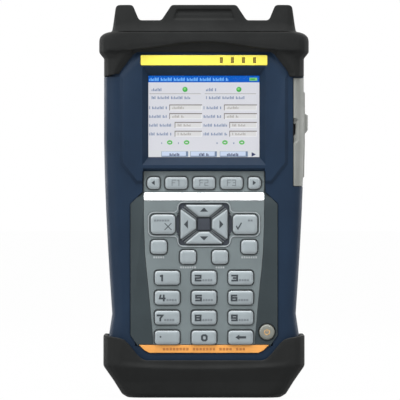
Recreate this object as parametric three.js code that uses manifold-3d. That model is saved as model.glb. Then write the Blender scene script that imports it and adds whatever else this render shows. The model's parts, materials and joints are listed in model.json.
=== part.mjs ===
// Handheld dual-port network tester: a two-shell case between two rubber boots, with a colour
// display, a 28-key pad, test ports in the top, a hinged door over the side sockets, and a
// tilt stand and battery bay in the back. Millimetres, +Z up, the front faces -Y.
// "Depth" below is measured forwards from the parting plane of the case, which is Y = 0.
import * as THREE from 'three';
import Module from 'manifold-3d';
import { mergeVertices } from 'three/addons/utils/BufferGeometryUtils.js';

const wasm = await Module();
wasm.setup();

// ---------------------------------------------------------------- fits and general sizes
const seat = 0.3; // gap between a piece and what carries it
const hair = 0.1; // keeps two faces from falling together
const caseWall = 2.4; // both case shells
const ledgeWall = 2; // moulded ledges and pocket walls
const far = 400; // reach of a cutting block, well outside the case
const cornerSteps = 2; // chords in a small rounded corner
const caseCornerSteps = 4; // chords in a corner of the case

// ---------------------------------------------------------------- case
const shoulderHalf = 62.7; // half the width of the case, which the other widths follow
const caseFront = 24; // depth of the front face
const caseRear = 24.4; // distance of the rear face behind the parting plane
const caseCorner = 8;
const caseBottom = 4;
const caseTop = 221;
const caseFootTuck = 3; // how far the front and rear draw in at the bottom
const shoulderHeight = 160;
const sideBow = 1.5; // how early the sides swell above the waist
const sideSteps = 5;
const partingGap = 0.3;
const hipTuck = 3.2; // hips, waist and foot draw in from the shoulder
const waistTuck = 5.1;
const footTuck = 12.7;
const hipHeight = 20;
const hipTop = 40;
const waistHeight = 52.6;
const hipHalf = shoulderHalf - hipTuck;
const waistHalf = shoulderHalf - waistTuck;
const caseFootHalf = shoulderHalf - footTuck;

// ---------------------------------------------------------------- raised front plateau
const plateauRise = 1.6;
const plateauBevel = 2;
const plateauInset = 10.1;
const plateauSlant = 10.7; // narrowing towards the top, and towards the bottom
const plateauLowSlant = 9.8;
const plateauBottom = 134.1;
const plateauLow = 146.7;
const plateauHigh = 202.1;
const plateauTop = 215.9;
const plateauDepth = caseFront + plateauRise;
const plateauHalf = shoulderHalf - plateauInset;
const plateauTopHalf = plateauHalf - plateauSlant;
const plateauBottomHalf = plateauHalf - plateauLowSlant;

// ---------------------------------------------------------------- top boot
const bootWall = 2.8;
const bootCorner = 10;
const skirtProud = 3.4; // in front of the case
const skirtHeight = 201; // lower edge of the boot at the sides
const flangeProud = 3; // beyond the skirt, at the sides
const flangeFrontProud = 2.6;
const flangeBottom = 212.8;
const flangeHeight = 16.5;
const flangeChamfer = 2.9;
const flangeChamferRise = 3.5;
const flangeRound = 8; // rounded upper edge, across and up
const flangeFrontRound = 2.5;
const flangeRoundRise = 5.5;
const flangeSteps = 4;
const archLift = 4.1; // arched lower edge of the flange on the front and rear
const archRise = 6.1;
const archSteps = 8;
const crownInset = 5.2;
const crownLean = 2.4; // the ends of the crown lean in towards the top
const crownTaper = 1.5; // and so do its front and rear
const crownRise = 16.7;
const crownRound = 2.4;
const crownSteps = 3;
const hornWidth = 10.5; // flat top of each end
const hornSlope = 4;
const valleyDrop = 9.7;
const blockHalf = 20.3; // raised centre of the crown
const blockSlope = 6.4;
const recessHalf = 17; // shallow recess in the front of the raised centre
const recessSlope = 2.2;
const recessMargin = 3;
const recessTall = 6.1;
const recessDeep = 1.2;
const wellWall = 6.2; // walls of the open well over the ports
const wellFrontWall = 8.2;
const skirtDepth = caseFront + skirtProud;
const flangeHalf = shoulderHalf + flangeProud;
const flangeDepth = skirtDepth + flangeFrontProud;
const flangeTop = flangeBottom + flangeHeight;
const archSide = flangeBottom + archLift;
const crownHalf = shoulderHalf - crownInset;
const crownTopHalf = crownHalf - crownLean;
const crownDepth = flangeDepth - flangeFrontRound;
const bootTop = flangeTop + crownRise;
const valleyHeight = bootTop - valleyDrop;
const wellHalf = crownHalf - wellWall;
const wellDepth = crownDepth - wellFrontWall;

// ---------------------------------------------------------------- bottom boot
const chinProud = 0.4;
const chinFrontProud = 6; // in front of the case
const chinHeight = 19.6; // crest of the boot
const chinBand = 1.2;
const chinFall = 1; // the front draws in again above the crest
const flankTuck = 6.6; // the flanks draw in below the crest
const flankFrontTuck = 4.2;
const flankHeight = 10.3;
const baseTuck = 15;
const baseFrontTuck = 8;
const baseRound = 3.4; // how far the base edge turns out
const baseTurn = 2.2;
const lipHalf = 36.3;
const lipHeight = 23.6; // upper edge of the boot at the centre
const cheekInset = 10.1;
const cheekShoulder = 37.5;
const cheekHeight = 39.4; // upper edge of the boot at the sides
const cheekSteps = 6;
const chinHalf = shoulderHalf + chinProud;
const chinDepth = caseFront + chinFrontProud;
const cheekHalf = shoulderHalf - cheekInset;

// ---------------------------------------------------------------- display
const glassHalf = 34.9;
const glassBottom = 150.6;
const glassTop = 201.9;
const glassDeep = 4.8; // below the face of the plateau
const wellSlant = 3.7; // sides of the sloped display well
const wellFoot = 4.8; // its lower and upper ledge
const wellHead = 5.3;
const wellOverrun = 1.3; // the well's cutter runs on past the plateau by this share
const windowThickness = 1.4;
const windowLap = 2.5; // window hidden behind the edge of the well
const lcdThickness = 4.1;
const lcdLap = 3.5;
const lcdFoot = 4.6;
const lcdHead = 5.5;
const lcdFaceLap = 0.6;
const lcdFaceDeep = 0.4;
const glassDepth = plateauDepth - glassDeep;

// ---------------------------------------------------------------- indicator strip
const stripHalf = 39.6;
const stripRise = 6.3; // above the glass
const stripHeight = 6.3;
const stripCorner = 0.6;
const stripThickness = 1.2;
const stripProud = 0.3;
const slotFirst = 10.9;
const slotPitch = 6.9;
const slotCount = 4;
const slotWidth = 1.7;
const slotHeight = 3.6;
const pipeThickness = 1.5;
const stripBottom = glassTop + stripRise;
const stripTop = stripBottom + stripHeight;

// ---------------------------------------------------------------- keypad
const padRise = 0.8; // front of the number pad above the front of the case
const functionDrop = 2.8; // the function-key row lies deeper than the number pad
const panelTop = 141.4;
const slopeTop = 128.9;
const slopeBottom = 123.3;
const panelShoulder = 121.4;
const panelCheek = 39.4;
const panelBottom = 32.6;
const panelHalf = 46;
const panelTopHalf = 38.2;
const panelBottomHalf = 40.7;
const panelFloor = 1.6;
const plateThickness = 1.2;
const plateHalf = 38;
const plateShoulder = 118;
const plateBottomHalf = 31.6;
const trimThickness = 0.4;
const trimRest = 0.5; // plate left under the trim
const openingInset = 3; // opening through the case behind the panel
const openingTopInset = 1.3;
const openingTop = 139.8;
const accentLap = 0.9; // the accent strip laps over the foot of the panel
const accentHeight = 5.5;
const accentTopHalf = 41.4;
const accentTurnHalf = 37.4;
const accentTurnRise = 1.6;
const accentBottomHalf = 34.2;
const accentThickness = 1.2;
const padDepth = caseFront + padRise;
const functionDepth = padDepth - functionDrop;
const accentTop = panelBottom + accentLap;
const accentBottom = accentTop - accentHeight;

// ---------------------------------------------------------------- keys
const keyGap = 0.4; // round each key in its aperture
const keyLap = 0.5; // flange behind the panel
const keyProud = 1.8;
const keyTravel = 1;
const flangeThickness = 1;
const keyCrown = 0.5; // bevel round the face of a key
const keyCorner = 1.4;
const functionRow = 134.5;
const functionHeight = 7.5;
const functionWidth = 13.8;
const functionPitch = 17.3;
const pageWidth = 7.8;
const pageOffset = 31.7;
const pageCorner = 2.8; // outer corners of the two page keys
const padCentre = 108.7; // height of the middle of the direction pad
const arrowReach = 12.2;
const arrowHalf = 12.4;
const arrowRoot = 4.7;
const arrowRootHalf = 3.2;
const sideArrowReach = 14.7;
const sideArrowHalf = 9.7;
const sideArrowRoot = 5;
const sideArrowRootHalf = 2.7;
const arrowCorner = 0.6;
const commandOffset = 25.7;
const commandWidth = 15.3;
const commandHeight = 12.2;
const commandCorner = 2.6;
const auxWidth = 10;
const auxHeight = 8.6;
const auxOuter = 28.3;
const auxOuterHeight = 94.5;
const auxInner = 10;
const auxInnerHeight = 88.2;
const digitWidth = 15.5;
const digitHeight = 8.6;
const digitPitchX = 23;
const digitPitchZ = 12.46;
const digitTopRow = 75.4;
const powerX = 39.4;
const powerZ = 41.3;
const powerRadius = 4.7;
const powerSteps = 20;
const padFrameRim = 0.9; // frame round the direction pad
const padFrameFloor = 0.7;
const padFrameProud = 0.5;
const padWellHalf = 15.9;
const padWellReach = 13.3;
const padCorner = 3.1;
const padWingHalf = 34.3;
const padWingHeight = 6.9;
const hubHalf = 3.9; // block between the four arrows
const hubProud = 1;
const hubBevel = 0.5;
const powerRoom = 6.2; // opening through the case behind the power button
const matGap = 0.6;
const matRoom = 0.3; // between a pressed key and the mat
const matLap = 2;

// ---------------------------------------------------------------- inside
const boardFront = 14.7; // depth of the front of the board
const boardThickness = 1.6;
const boardInset = 10.2;
const boardStepIn = 2.9;
const boardBottom = 36;
const boardStep = 126;
const boardStepTall = 4;
const boardDrop = 3; // below the top of the case
const boardHalf = shoulderHalf - boardInset;
const boardUpperHalf = boardHalf - boardStepIn;
const boardTop = caseTop - boardDrop;
const boardRear = boardThickness - boardFront;

// ---------------------------------------------------------------- test ports in the top
const portPanelThickness = 1.8;
const portPanelGap = 0.5;
const jackCentre = -19;
const jackWidth = 32;
const jackDepth = 13.5;
const jackHeight = 21;
const jackPitch = 15.9;
const jackMouthWidth = 11.8;
const jackMouthDepth = 7.4;
const jackMouthDeep = 13;
const jackTabWidth = 6;
const jackTabDepth = 2.2;
const cageCentre = 20;
const cageWidth = 30;
const cageDepth = 10.4;
const cageHeight = 38;
const cagePitch = 14.8;
const cageMouthWidth = 13.6;
const cageMouthDepth = 8.8;
const cageMouthDeep = 34;
const topOpeningInset = 5.3;
const topOpeningFrontInset = 3.3;
const portTop = caseTop + seat + portPanelThickness;
const portFront = boardRear + seat;

// ---------------------------------------------------------------- side door, hinge and latch
const doorWrap = 6.7; // how far the door laps round onto the front
const doorHeight = 67.8;
const doorSkin = 2.6;
const doorBandFoot = 5.7; // raised band: its ends, front and rear
const doorBandHead = 8.9;
const doorBandProud = 0.7;
const doorBandFront = 17;
const doorBandRear = 3;
const doorEarGap = 2.8; // the skin stops short of the ears of the hinge
const hingeInset = 2.3;
const hingeY = 8;
const hingeRadius = 2.4;
const hingeClearance = 3.9;
const hingeRoom = 2; // wall round the hinge groove
const hingePin = 1;
const hingeEar = 3.4;
const hingeRoot = 1; // how far an ear's foot runs on into the case
const hingeSteps = 16;
const pinSteps = 8;
const latchRise = 32.6; // above the foot of the door
const latchHeight = 13.1;
const latchProud = 2.7;
const latchFront = 14.5;
const latchRear = 7.5;
const latchTravel = 4;
const latchChamfer = 2.5;
const latchChamferDeep = 0.9;
const latchNeckRise = 3;
const latchNeckHeight = 5;
const latchNeckWidth = 3;
const latchTongueThickness = 1.4;
const latchTongueHead = 1.7; // the tongue's ends, from those of the knob
const latchTongueFoot = 1.8;
const latchOverlap = 0.5;
const latchPadProud = 0.2;
const catchGap = 1.5;
const catchHeight = 3.5;
const notchRise = 27.4; // finger notch in the front edge of the door
const notchHeight = 15;
const notchWidth = 3.2;
const notchCorner = 2;
const notchDeep = 1.9;
const doorTop = skirtHeight - 2 * seat;
const doorBottom = doorTop - doorHeight;
const doorInner = shoulderHalf - doorWrap;
const doorBandBottom = doorBottom + doorBandFoot;
const doorBandTop = doorTop - doorBandHead;
const doorGapLow = doorBottom - seat;
const doorGapHigh = doorTop + seat;
const hingeX = shoulderHalf - hingeInset;
const knuckleLow = doorGapLow + hingeEar + seat;
const knuckleHigh = doorGapHigh - hingeEar - seat;
const skinInner = shoulderHalf - doorSkin - seat; // outermost reach of what lies behind the door
const latchBottom = doorBottom + latchRise;
const latchTop = latchBottom + latchHeight;
const latchOuter = shoulderHalf + latchProud;
const latchMiddle = -(latchFront + latchRear) / 2;
const latchTongueTop = latchTop + latchTongueHead;
const latchTongueBottom = latchBottom + latchTongueFoot;
const tongueOuter = skinInner - latchTongueThickness + latchPadProud;
const catchBottom = latchTongueTop + catchGap;
const catchTop = catchBottom + catchHeight;

// ---------------------------------------------------------------- side bay and its sockets
const bayShy = 0.4; // behind the skin of the door
const bayReach = 8.4;
const bayFrontInset = 2.8;
const bayRear = 4.4;
const bayFoot = 1.4;
const bayHead = 0.2;
const bayFloor = 1.6;
const bayWall = 1.4;
const socketDeep = 14;
const socketMouthDeep = 10;
const usbRise = 41.4; // above the foot of the door
const usbHeight = 14.5;
const usbThickness = 7.2;
const usbMouthHeight = 12.4;
const usbMouthThickness = 4.8;
const usbTongue = 1.9;
const usbTongueInset = 0.6;
const inletRise = 15.4;
const inletHeight = 9.2;
const inletThickness = 11;
const inletBore = 2.9;
const inletPin = 1;
const inletPinDeep = 0.6;
const bayOuter = skinInner - bayShy;
const bayInner = bayOuter - bayReach;
const bayFront = caseFront - bayFrontInset;
const bayBottom = doorBottom + bayFoot;
const bayTop = doorTop - bayHead;
const usbCentre = doorBottom + usbRise;
const inletCentre = doorBottom + inletRise;
const socketMouth = bayInner + bayFloor + seat;

// ---------------------------------------------------------------- battery bay
const batteryHalf = 34.5;
const batteryBottom = 51;
const batteryTop = 109;
const batteryThickness = 12.4;
const batteryRibs = 3; // grooves across the front of the pack
const batteryRibPitch = 17;
const batteryRibFirst = 12;
const batteryRibHeight = 2;
const batteryRibInset = 4;
const batteryRibDeep = 0.5;
const batteryCoverThickness = 2;
const batteryCoverHalf = 38;
const batteryCoverBottom = 40;
const batteryCoverTop = 113;
const batteryCoverCorner = 3;
const gripCount = 4; // finger grooves in the battery cover
const gripPitch = 2.4;
const gripHeight = 1.2;
const gripFirst = 4.8;
const gripHalf = 9;
const gripDeep = 0.6;
const batteryScrewRise = 5;
const batteryScrewReach = 9;
const batteryBoreReach = 8.5;
const batteryPostReach = 10;
const batteryBayWall = 2;
const batteryScrewZ = batteryCoverBottom + batteryScrewRise;
const batteryRear = caseRear - batteryCoverThickness - seat;
const batteryFront = batteryRear - seat - batteryThickness;

// ---------------------------------------------------------------- tilt stand
const standHalf = 31;
const standBottom = 121;
const standHinge = 190;
const standThickness = 2.6;
const standBarrel = 2;
const standTrunnion = 1.4;
const standTrunnionReach = 2.4;
const standTrunnionGap = 0.35;
const standTrunnionEnd = 0.4;
const standBayDepth = 5;
const standBayCorner = 1;
const standHeadroom = 2.6;
const standFootroom = 3;
const standGap = 0.6;
const standCorner = 5;
const standRibs = 3;
const standRibPitch = 14;
const standRibHeight = 0.6;
const standRibWidth = 1.6;
const standRibRoot = 1;
const standRibHalf = 22;
const scoopHalf = 9; // finger scoop under the stand
const scoopDepth = 4;
const scoopReach = 6;
const scoopLip = 0.2;
const standRear = caseRear - standGap;
const standAxis = standRear - standBarrel;
const standTop = standHinge + standHeadroom;
const scoopBottom = standBottom - scoopReach;

// ---------------------------------------------------------------- screws and bosses
const screwShank = 1.4;
const screwHead = 2.7;
const screwHeadHeight = 1.6;
const screwReach = 9; // past the parting plane, into the front boss
const screwSink = 1;
const screwSteps = 14;
const screwSlot = 0.7;
const upperScrewInset = 18.7;
const screwClearance = 0.55; // between an upper boss and the socket below it
const lowerScrewInset = 11;
const lowerScrewZ = 52;
const bossRadius = 3.6;
const bossShoulder = 4.2;
const bossNeck = 3;
const bossSteps = 16;
const upperScrewX = shoulderHalf - upperScrewInset;
const upperScrewZ = usbCentre + usbHeight / 2 + bossShoulder + screwClearance;
const lowerScrewX = hipHalf - lowerScrewInset;
const caseScrewSeat = caseRear - screwHeadHeight - screwSink;

// ================================================================ helpers
// A closed geometry as a solid with its faces turned outwards.
function solidOf(geometry) {
  const bare = geometry.index ? geometry.toNonIndexed() : geometry.clone();
  bare.deleteAttribute('normal');
  bare.deleteAttribute('uv');
  const merged = mergeVertices(bare, 1e-4);
  const triVerts = new Uint32Array(merged.index.array);
  const vertProperties = merged.attributes.position.array;
  if (signedVolume(vertProperties, triVerts) < 0) {
    for (let i = 0; i < triVerts.length; i += 3) {
      [triVerts[i + 1], triVerts[i + 2]] = [triVerts[i + 2], triVerts[i + 1]];
    }
  }
  return new wasm.Manifold(new wasm.Mesh({ numProp: 3, vertProperties, triVerts }));
}

function signedVolume(positions, triangles) {
  const corner = (i) => new THREE.Vector3().fromArray(positions, 3 * triangles[i]);
  let total = 0;
  for (let i = 0; i < triangles.length; i += 3) {
    total += corner(i).dot(corner(i + 1).cross(corner(i + 2))) / 6;
  }
  return total;
}

function geometryOf(solid) {
  const mesh = solid.getMesh();
  const geometry = new THREE.BufferGeometry();
  geometry.setAttribute('position', new THREE.BufferAttribute(new Float32Array(mesh.vertProperties), 3));
  geometry.setIndex(new THREE.BufferAttribute(new Uint32Array(mesh.triVerts), 1));
  return geometry;
}

const union = (...solids) => solids.reduce((all, next) => all.add(next));
const repeat = (count, make) => Array.from({ length: count }, (_, i) => make(i));

// Outlines are lists of [across, up] points, counter-clockwise.
const rectangle = (half, low, high, middle = 0) => [
  [middle - half, low],
  [middle + half, low],
  [middle + half, high],
  [middle - half, high],
];

const centred = (width, height, x = 0, z = 0) => rectangle(width / 2, z - height / 2, z + height / 2, x);

const mirroredOutline = (right) => [...right, ...right.map(([x, z]) => [-x, z]).reverse()];

function direction([ax, az], [bx, bz]) {
  const length = Math.hypot(bx - ax, bz - az);
  return [(bx - ax) / length, (bz - az) / length];
}

// Moves every edge of an outline outwards by a distance.
function grow(outline, distance) {
  return outline.map((point, i) => {
    const before = outline.at(i - 1);
    const after = outline[(i + 1) % outline.length];
    const [ux, uz] = direction(before, point);
    const [vx, vz] = direction(point, after);
    const share = distance / (1 + ux * vx + uz * vz);
    return [point[0] + share * (uz + vz), point[1] - share * (ux + vx)];
  });
}

// Replaces every corner of an outline by an arc. Several radii are taken in turn.
function rounded(outline, radii, steps = cornerSteps) {
  const list = [radii].flat();
  return outline.flatMap((point, i) => {
    const radius = list[i % list.length];
    const [ax, az] = direction(point, outline.at(i - 1));
    const [bx, bz] = direction(point, outline[(i + 1) % outline.length]);
    const half = Math.acos(ax * bx + az * bz) / 2;
    const turn = Math.sign(az * bx - ax * bz) || 1;
    const [mx, mz] = direction([0, 0], [ax + bx, az + bz]);
    const reach = radius / Math.sin(half);
    const centre = [point[0] + mx * reach, point[1] + mz * reach];
    const middle = Math.atan2(-mz, -mx);
    const sweep = Math.PI / 2 - half;
    return repeat(steps + 1, (k) => {
      const angle = middle + turn * sweep * ((2 * k) / steps - 1);
      return [centre[0] + radius * Math.cos(angle), centre[1] + radius * Math.sin(angle)];
    });
  });
}

const circle = (radius, x = 0, z = 0, steps = powerSteps) =>
  repeat(steps, (i) => {
    const angle = (2 * Math.PI * (i + 0.5)) / steps;
    return [x + radius * Math.cos(angle), z + radius * Math.sin(angle)];
  });

function extruded(outline, length) {
  const shape = new THREE.Shape(outline.map(([x, y]) => new THREE.Vector2(x, y)));
  return new THREE.ExtrudeGeometry(shape, { depth: length, bevelEnabled: false, steps: 1 });
}

// An outline seen from the front, as a prism between two Y planes.
const prism = (outline, front, rear) =>
  solidOf(extruded(outline, rear - front).rotateX(Math.PI / 2).translate(0, rear, 0));

// An outline of [Y, Z] points, as a prism between two X planes.
function sideways(outline, left, right) {
  const turn = new THREE.Matrix4().set(0, 0, 1, left, 1, 0, 0, 0, 0, 1, 0, 0, 0, 0, 0, 1);
  return solidOf(extruded(outline, right - left).applyMatrix4(turn));
}

// An outline of [X, Y] points, as a prism between two heights.
const upright = (outline, low, high) => solidOf(extruded(outline, high - low).translate(0, 0, low));

const block = (x0, x1, y0, y1, z0, z1) => prism([[x0, z0], [x1, z0], [x1, z1], [x0, z1]], y0, y1);

function rod(radius, from, to, steps = hingeSteps) {
  const start = new THREE.Vector3(...from);
  const end = new THREE.Vector3(...to);
  const along = end.clone().sub(start);
  const geometry = new THREE.CylinderGeometry(radius, radius, along.length(), steps);
  const turn = new THREE.Quaternion().setFromUnitVectors(new THREE.Vector3(0, 1, 0), along.normalize());
  const middle = start.add(end).multiplyScalar(0.5);
  return solidOf(geometry.applyQuaternion(turn).translate(middle.x, middle.y, middle.z));
}

// A closed solid through rings that all have the same number of [x, y, z] points.
function loft(rings) {
  const count = rings[0].length;
  const positions = rings.flat(2);
  const triangles = [];
  for (let r = 0; r + 1 < rings.length; r += 1) {
    for (let i = 0; i < count; i += 1) {
      const a = r * count + i;
      const b = r * count + ((i + 1) % count);
      triangles.push(a, b, b + count, a, b + count, a + count);
    }
  }
  [rings[0], rings.at(-1)].forEach((ring, end) => {
    const centre = positions.length / 3;
    const middle = [0, 1, 2].map((k) => ring.reduce((sum, p) => sum + p[k], 0) / count);
    positions.push(...middle);
    const start = end ? (rings.length - 1) * count : 0;
    for (let i = 0; i < count; i += 1) {
      const pair = [start + i, start + ((i + 1) % count)];
      triangles.push(centre, ...(end ? pair : pair.reverse()));
    }
  });
  const geometry = new THREE.BufferGeometry();
  geometry.setAttribute('position', new THREE.Float32BufferAttribute(positions, 3));
  geometry.setIndex(triangles);
  return solidOf(geometry);
}

// A loft between outlines seen from the front, each with its own Y.
const faceLoft = (stages) => loft(stages.map(([outline, y]) => outline.map(([x, z]) => [x, y, z])));

// A level ring of the case or a boot: a rectangle with round corners.
function levelRing(half, front, rear, corner, z, steps = caseCornerSteps) {
  const plan = [[-half, -front], [half, -front], [half, rear], [-half, rear]];
  return rounded(plan, corner, steps).map(([x, y]) => [x, y, z]);
}

// ================================================================ case and boots
const smooth = (t) => t * t * (3 - 2 * t);
const mix = (a, b, t) => a + (b - a) * t;

function sideHalf(z) {
  const t = (z - waistHeight) / (shoulderHeight - waistHeight);
  return mix(waistHalf, shoulderHalf, 1 - (1 - t) ** sideBow);
}

// The body of the case as a solid, drawn in (or out, when negative) by a distance.
function caseForm(inset, steps = caseCornerSteps) {
  const ring = (z, half, tuck = 0) => levelRing(
    half - inset, caseFront - tuck - inset, caseRear - tuck - inset, caseCorner - inset, z, steps);
  const sides = repeat(sideSteps + 1, (i) => {
    const z = mix(waistHeight, shoulderHeight, i / sideSteps);
    return ring(z, sideHalf(z));
  });
  const step = skirtHeight - inset;
  return loft([
    ring(caseBottom + inset, caseFootHalf, caseFootTuck),
    ring(hipHeight, hipHalf),
    ring(hipTop, hipHalf),
    ring((hipTop + waistHeight) / 2, (hipHalf + waistHalf) / 2),
    ...sides,
    ring(step, shoulderHalf),
    ring(step, shoulderHalf - bootWall),
    ring(caseTop - inset, shoulderHalf - bootWall),
  ]);
}

const plateauOutline = mirroredOutline([
  [plateauBottomHalf, plateauBottom],
  [plateauHalf, plateauLow],
  [plateauHalf, plateauHigh],
  [plateauTopHalf, plateauTop],
]);

const plateauForm = () => faceLoft([
  [plateauOutline, seat - caseFront],
  [plateauOutline, -caseFront],
  [grow(plateauOutline, -plateauBevel), -plateauDepth],
]);

function crownForm() {
  const hornInner = crownTopHalf - hornWidth;
  const profile = rounded(mirroredOutline([
    [crownHalf, archSide],
    [crownHalf, flangeTop],
    [crownTopHalf, bootTop],
    [hornInner, bootTop],
    [hornInner - hornSlope, valleyHeight],
    [blockHalf + blockSlope, valleyHeight],
    [blockHalf, bootTop],
  ]), crownRound, crownSteps);
  const depthAt = (z) => mix(crownDepth, crownDepth - crownTaper, (z - flangeTop) / crownRise);
  const mass = loft([archSide, flangeTop, bootTop].map((z) =>
    levelRing(crownHalf, depthAt(z), depthAt(z), caseCorner, z)));
  const recessTop = bootTop - recessMargin;
  const recess = mirroredOutline([
    [recessHalf + recessSlope, recessTop - recessTall],
    [recessHalf, recessTop],
  ]);
  return mass.intersect(prism(profile, -far, far))
    .subtract(prism(recess, -far, recessDeep + crownTaper / 2 - crownDepth));
}

function flangeForm() {
  const ring = (across, along, z) =>
    levelRing(flangeHalf - across, flangeDepth - along, flangeDepth - along, bootCorner, z);
  const shoulder = flangeTop - flangeRoundRise;
  const turn = repeat(flangeSteps, (i) => (Math.PI / 2) * ((i + 1) / flangeSteps)).map((angle) => {
    const inward = 1 - Math.cos(angle);
    const z = shoulder + flangeRoundRise * Math.sin(angle);
    return ring(flangeRound * inward, flangeFrontRound * inward, z);
  });
  const mass = loft([
    ring(flangeChamfer, flangeChamfer, flangeBottom),
    ring(0, 0, flangeBottom + flangeChamferRise),
    ring(0, 0, shoulder),
    ...turn,
  ]);
  // The lower edge of the flange is arched on the front and on the rear.
  const arch = repeat(archSteps + 1, (i) => {
    const across = 1 - (2 * i) / archSteps;
    return [flangeHalf * across, archSide + archRise * (1 - across * across)];
  });
  const under = [[-flangeHalf, skirtHeight], [flangeHalf, skirtHeight], ...arch];
  const skin = skirtDepth - seat;
  return mass.subtract(prism(under, -far, -skin)).subtract(prism(under, skin, far));
}

function topBoot() {
  const skirt = loft([skirtHeight, flangeTop - flangeRoundRise].map((z) =>
    levelRing(shoulderHalf, skirtDepth, skirtDepth, bootCorner, z)));
  const well = upright(rounded(rectangle(wellHalf, -wellDepth, wellDepth), crownRound), caseTop, far);
  const face = prism(grow(plateauOutline, seat), -far, far)
    .intersect(block(-far, far, -far, far, 0, plateauTop + seat));
  return union(skirt, flangeForm(), crownForm()).subtract(well).subtract(face).subtract(caseForm(-seat));
}

function bottomBoot() {
  const ring = (tuck, frontTuck, z) =>
    levelRing(chinHalf - tuck, chinDepth - frontTuck, chinDepth - frontTuck, bootCorner, z);
  const mass = loft([
    ring(baseTuck, baseFrontTuck, 0),
    ring(baseTuck - baseRound, baseFrontTuck - baseTurn, baseTurn),
    ring(flankTuck, flankFrontTuck, flankHeight),
    ring(seat, seat, chinHeight),
    ring(0, 0, chinHeight + chinBand),
    ring(0, chinFall, cheekHeight + chinBand),
  ]);
  const cheek = repeat(cheekSteps + 1, (i) => {
    const t = 1 - i / cheekSteps;
    return [mix(lipHalf, cheekHalf, t), mix(lipHeight, cheekShoulder, smooth(t))];
  });
  const region = mirroredOutline([[chinHalf + seat, -seat], [chinHalf + seat, cheekHeight], ...cheek]);
  return mass.intersect(prism(region, -far, far)).subtract(caseForm(-seat));
}

// ================================================================ keypad outlines
const panelOutline = mirroredOutline([
  [panelBottomHalf, panelBottom],
  [panelHalf, panelCheek],
  [panelHalf, panelShoulder],
  [panelTopHalf, slopeTop],
  [panelTopHalf, panelTop],
]);

const plateOutline = mirroredOutline([
  [plateBottomHalf, accentTop],
  [plateHalf, plateShoulder],
  [plateHalf, panelTop - seat],
]);

const openingOutline = mirroredOutline([
  [panelHalf - openingInset, panelBottom],
  [panelHalf - openingInset, panelShoulder - openingInset],
  [panelTopHalf - openingTopInset, slopeTop - openingInset],
  [panelTopHalf - openingTopInset, openingTop],
]);

const accentOutline = mirroredOutline([
  [accentBottomHalf, accentBottom],
  [accentTurnHalf, accentBottom + accentTurnRise],
  [accentTopHalf, accentTop],
]);

// A sheet that follows the stepped front of the keypad, between two distances below that front.
function padLayer(outline, near, deep) {
  const edge = (shift) => [
    [shift - padDepth, -far],
    [shift - padDepth, slopeBottom],
    [shift - functionDepth, slopeTop],
    [shift - functionDepth, far],
  ];
  return sideways([...edge(deep), ...edge(near).reverse()], -far, far).intersect(prism(outline, -far, far));
}

// ================================================================ keys
const panelThickness = plateThickness + seat + panelFloor;
const matNear = panelThickness + seat + flangeThickness + keyTravel + matRoom;

const arrowOutline = [
  [-arrowRootHalf, arrowRoot],
  [arrowRootHalf, arrowRoot],
  [arrowHalf, arrowReach],
  [-arrowHalf, arrowReach],
];

const sideArrowOutline = [
  [sideArrowRoot, -sideArrowRootHalf],
  [sideArrowReach, -sideArrowHalf],
  [sideArrowReach, sideArrowHalf],
  [sideArrowRoot, sideArrowRootHalf],
];

const turned = (outline) => outline.map(([x, z]) => [-x, -z]);

function key(name, outline, x, z, corner = keyCorner, front = padDepth) {
  return { name, outline, x, z, corner, front };
}

const digitKey = (name, column, row) => key(
  name, centred(digitWidth, digitHeight), column * digitPitchX, digitTopRow - row * digitPitchZ);
const auxKey = (number, x, z) => key(`key_aux_${number}`, centred(auxWidth, auxHeight), x, z);
const functionKey = (name, x, width, corner = keyCorner) => key(
  name, centred(width, functionHeight), x, functionRow, corner, functionDepth);

const padKeys = [
  key('key_up', arrowOutline, 0, padCentre, arrowCorner),
  key('key_down', turned(arrowOutline), 0, padCentre, arrowCorner),
  key('key_left', turned(sideArrowOutline), 0, padCentre, arrowCorner),
  key('key_right', sideArrowOutline, 0, padCentre, arrowCorner),
  key('key_cancel', centred(commandWidth, commandHeight), -commandOffset, padCentre, commandCorner),
  key('key_ok', centred(commandWidth, commandHeight), commandOffset, padCentre, commandCorner),
];

const keys = [
  functionKey('key_page_left', -pageOffset, pageWidth, [pageCorner, keyCorner, keyCorner, pageCorner]),
  functionKey('key_f1', -functionPitch, functionWidth),
  functionKey('key_f2', 0, functionWidth),
  functionKey('key_f3', functionPitch, functionWidth),
  functionKey('key_page_right', pageOffset, pageWidth, [keyCorner, pageCorner, pageCorner, keyCorner]),
  ...padKeys,
  auxKey(1, -auxOuter, auxOuterHeight),
  auxKey(2, -auxInner, auxInnerHeight),
  auxKey(3, auxInner, auxInnerHeight),
  auxKey(4, auxOuter, auxOuterHeight),
  ...repeat(9, (i) => digitKey(`key_${i + 1}`, (i % 3) - 1, Math.floor(i / 3))),
  digitKey('key_dot', -1, 3),
  digitKey('key_0', 0, 3),
  digitKey('key_back', 1, 3),
  key('power_button', circle(powerRadius), powerX, powerZ, 0),
];

function keyOutline({ outline, corner }, swell) {
  const radii = [corner].flat().map((radius) => radius + swell);
  return corner ? rounded(grow(outline, swell), radii) : grow(outline, swell);
}

// A key in its own frame, whose Y = 0 is the front of the keypad round it.
function keyForm(item) {
  const flange = keyGap + keyLap;
  const back = panelThickness + seat;
  return faceLoft([
    [keyOutline(item, flange), back + flangeThickness],
    [keyOutline(item, flange), back],
    [keyOutline(item, 0), back],
    [keyOutline(item, 0), keyCrown - keyProud],
    [keyOutline(item, -keyCrown), -keyProud],
  ]);
}

const placedOutline = (item, swell) => keyOutline(item, swell).map(([x, z]) => [x + item.x, z + item.z]);
const aperture = (item) => prism(placedOutline(item, keyGap), -far, far);
// Behind the light plate the apertures have square corners.
const squareAperture = (item) => aperture(item.corner ? { ...item, corner: 0 } : item);

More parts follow.
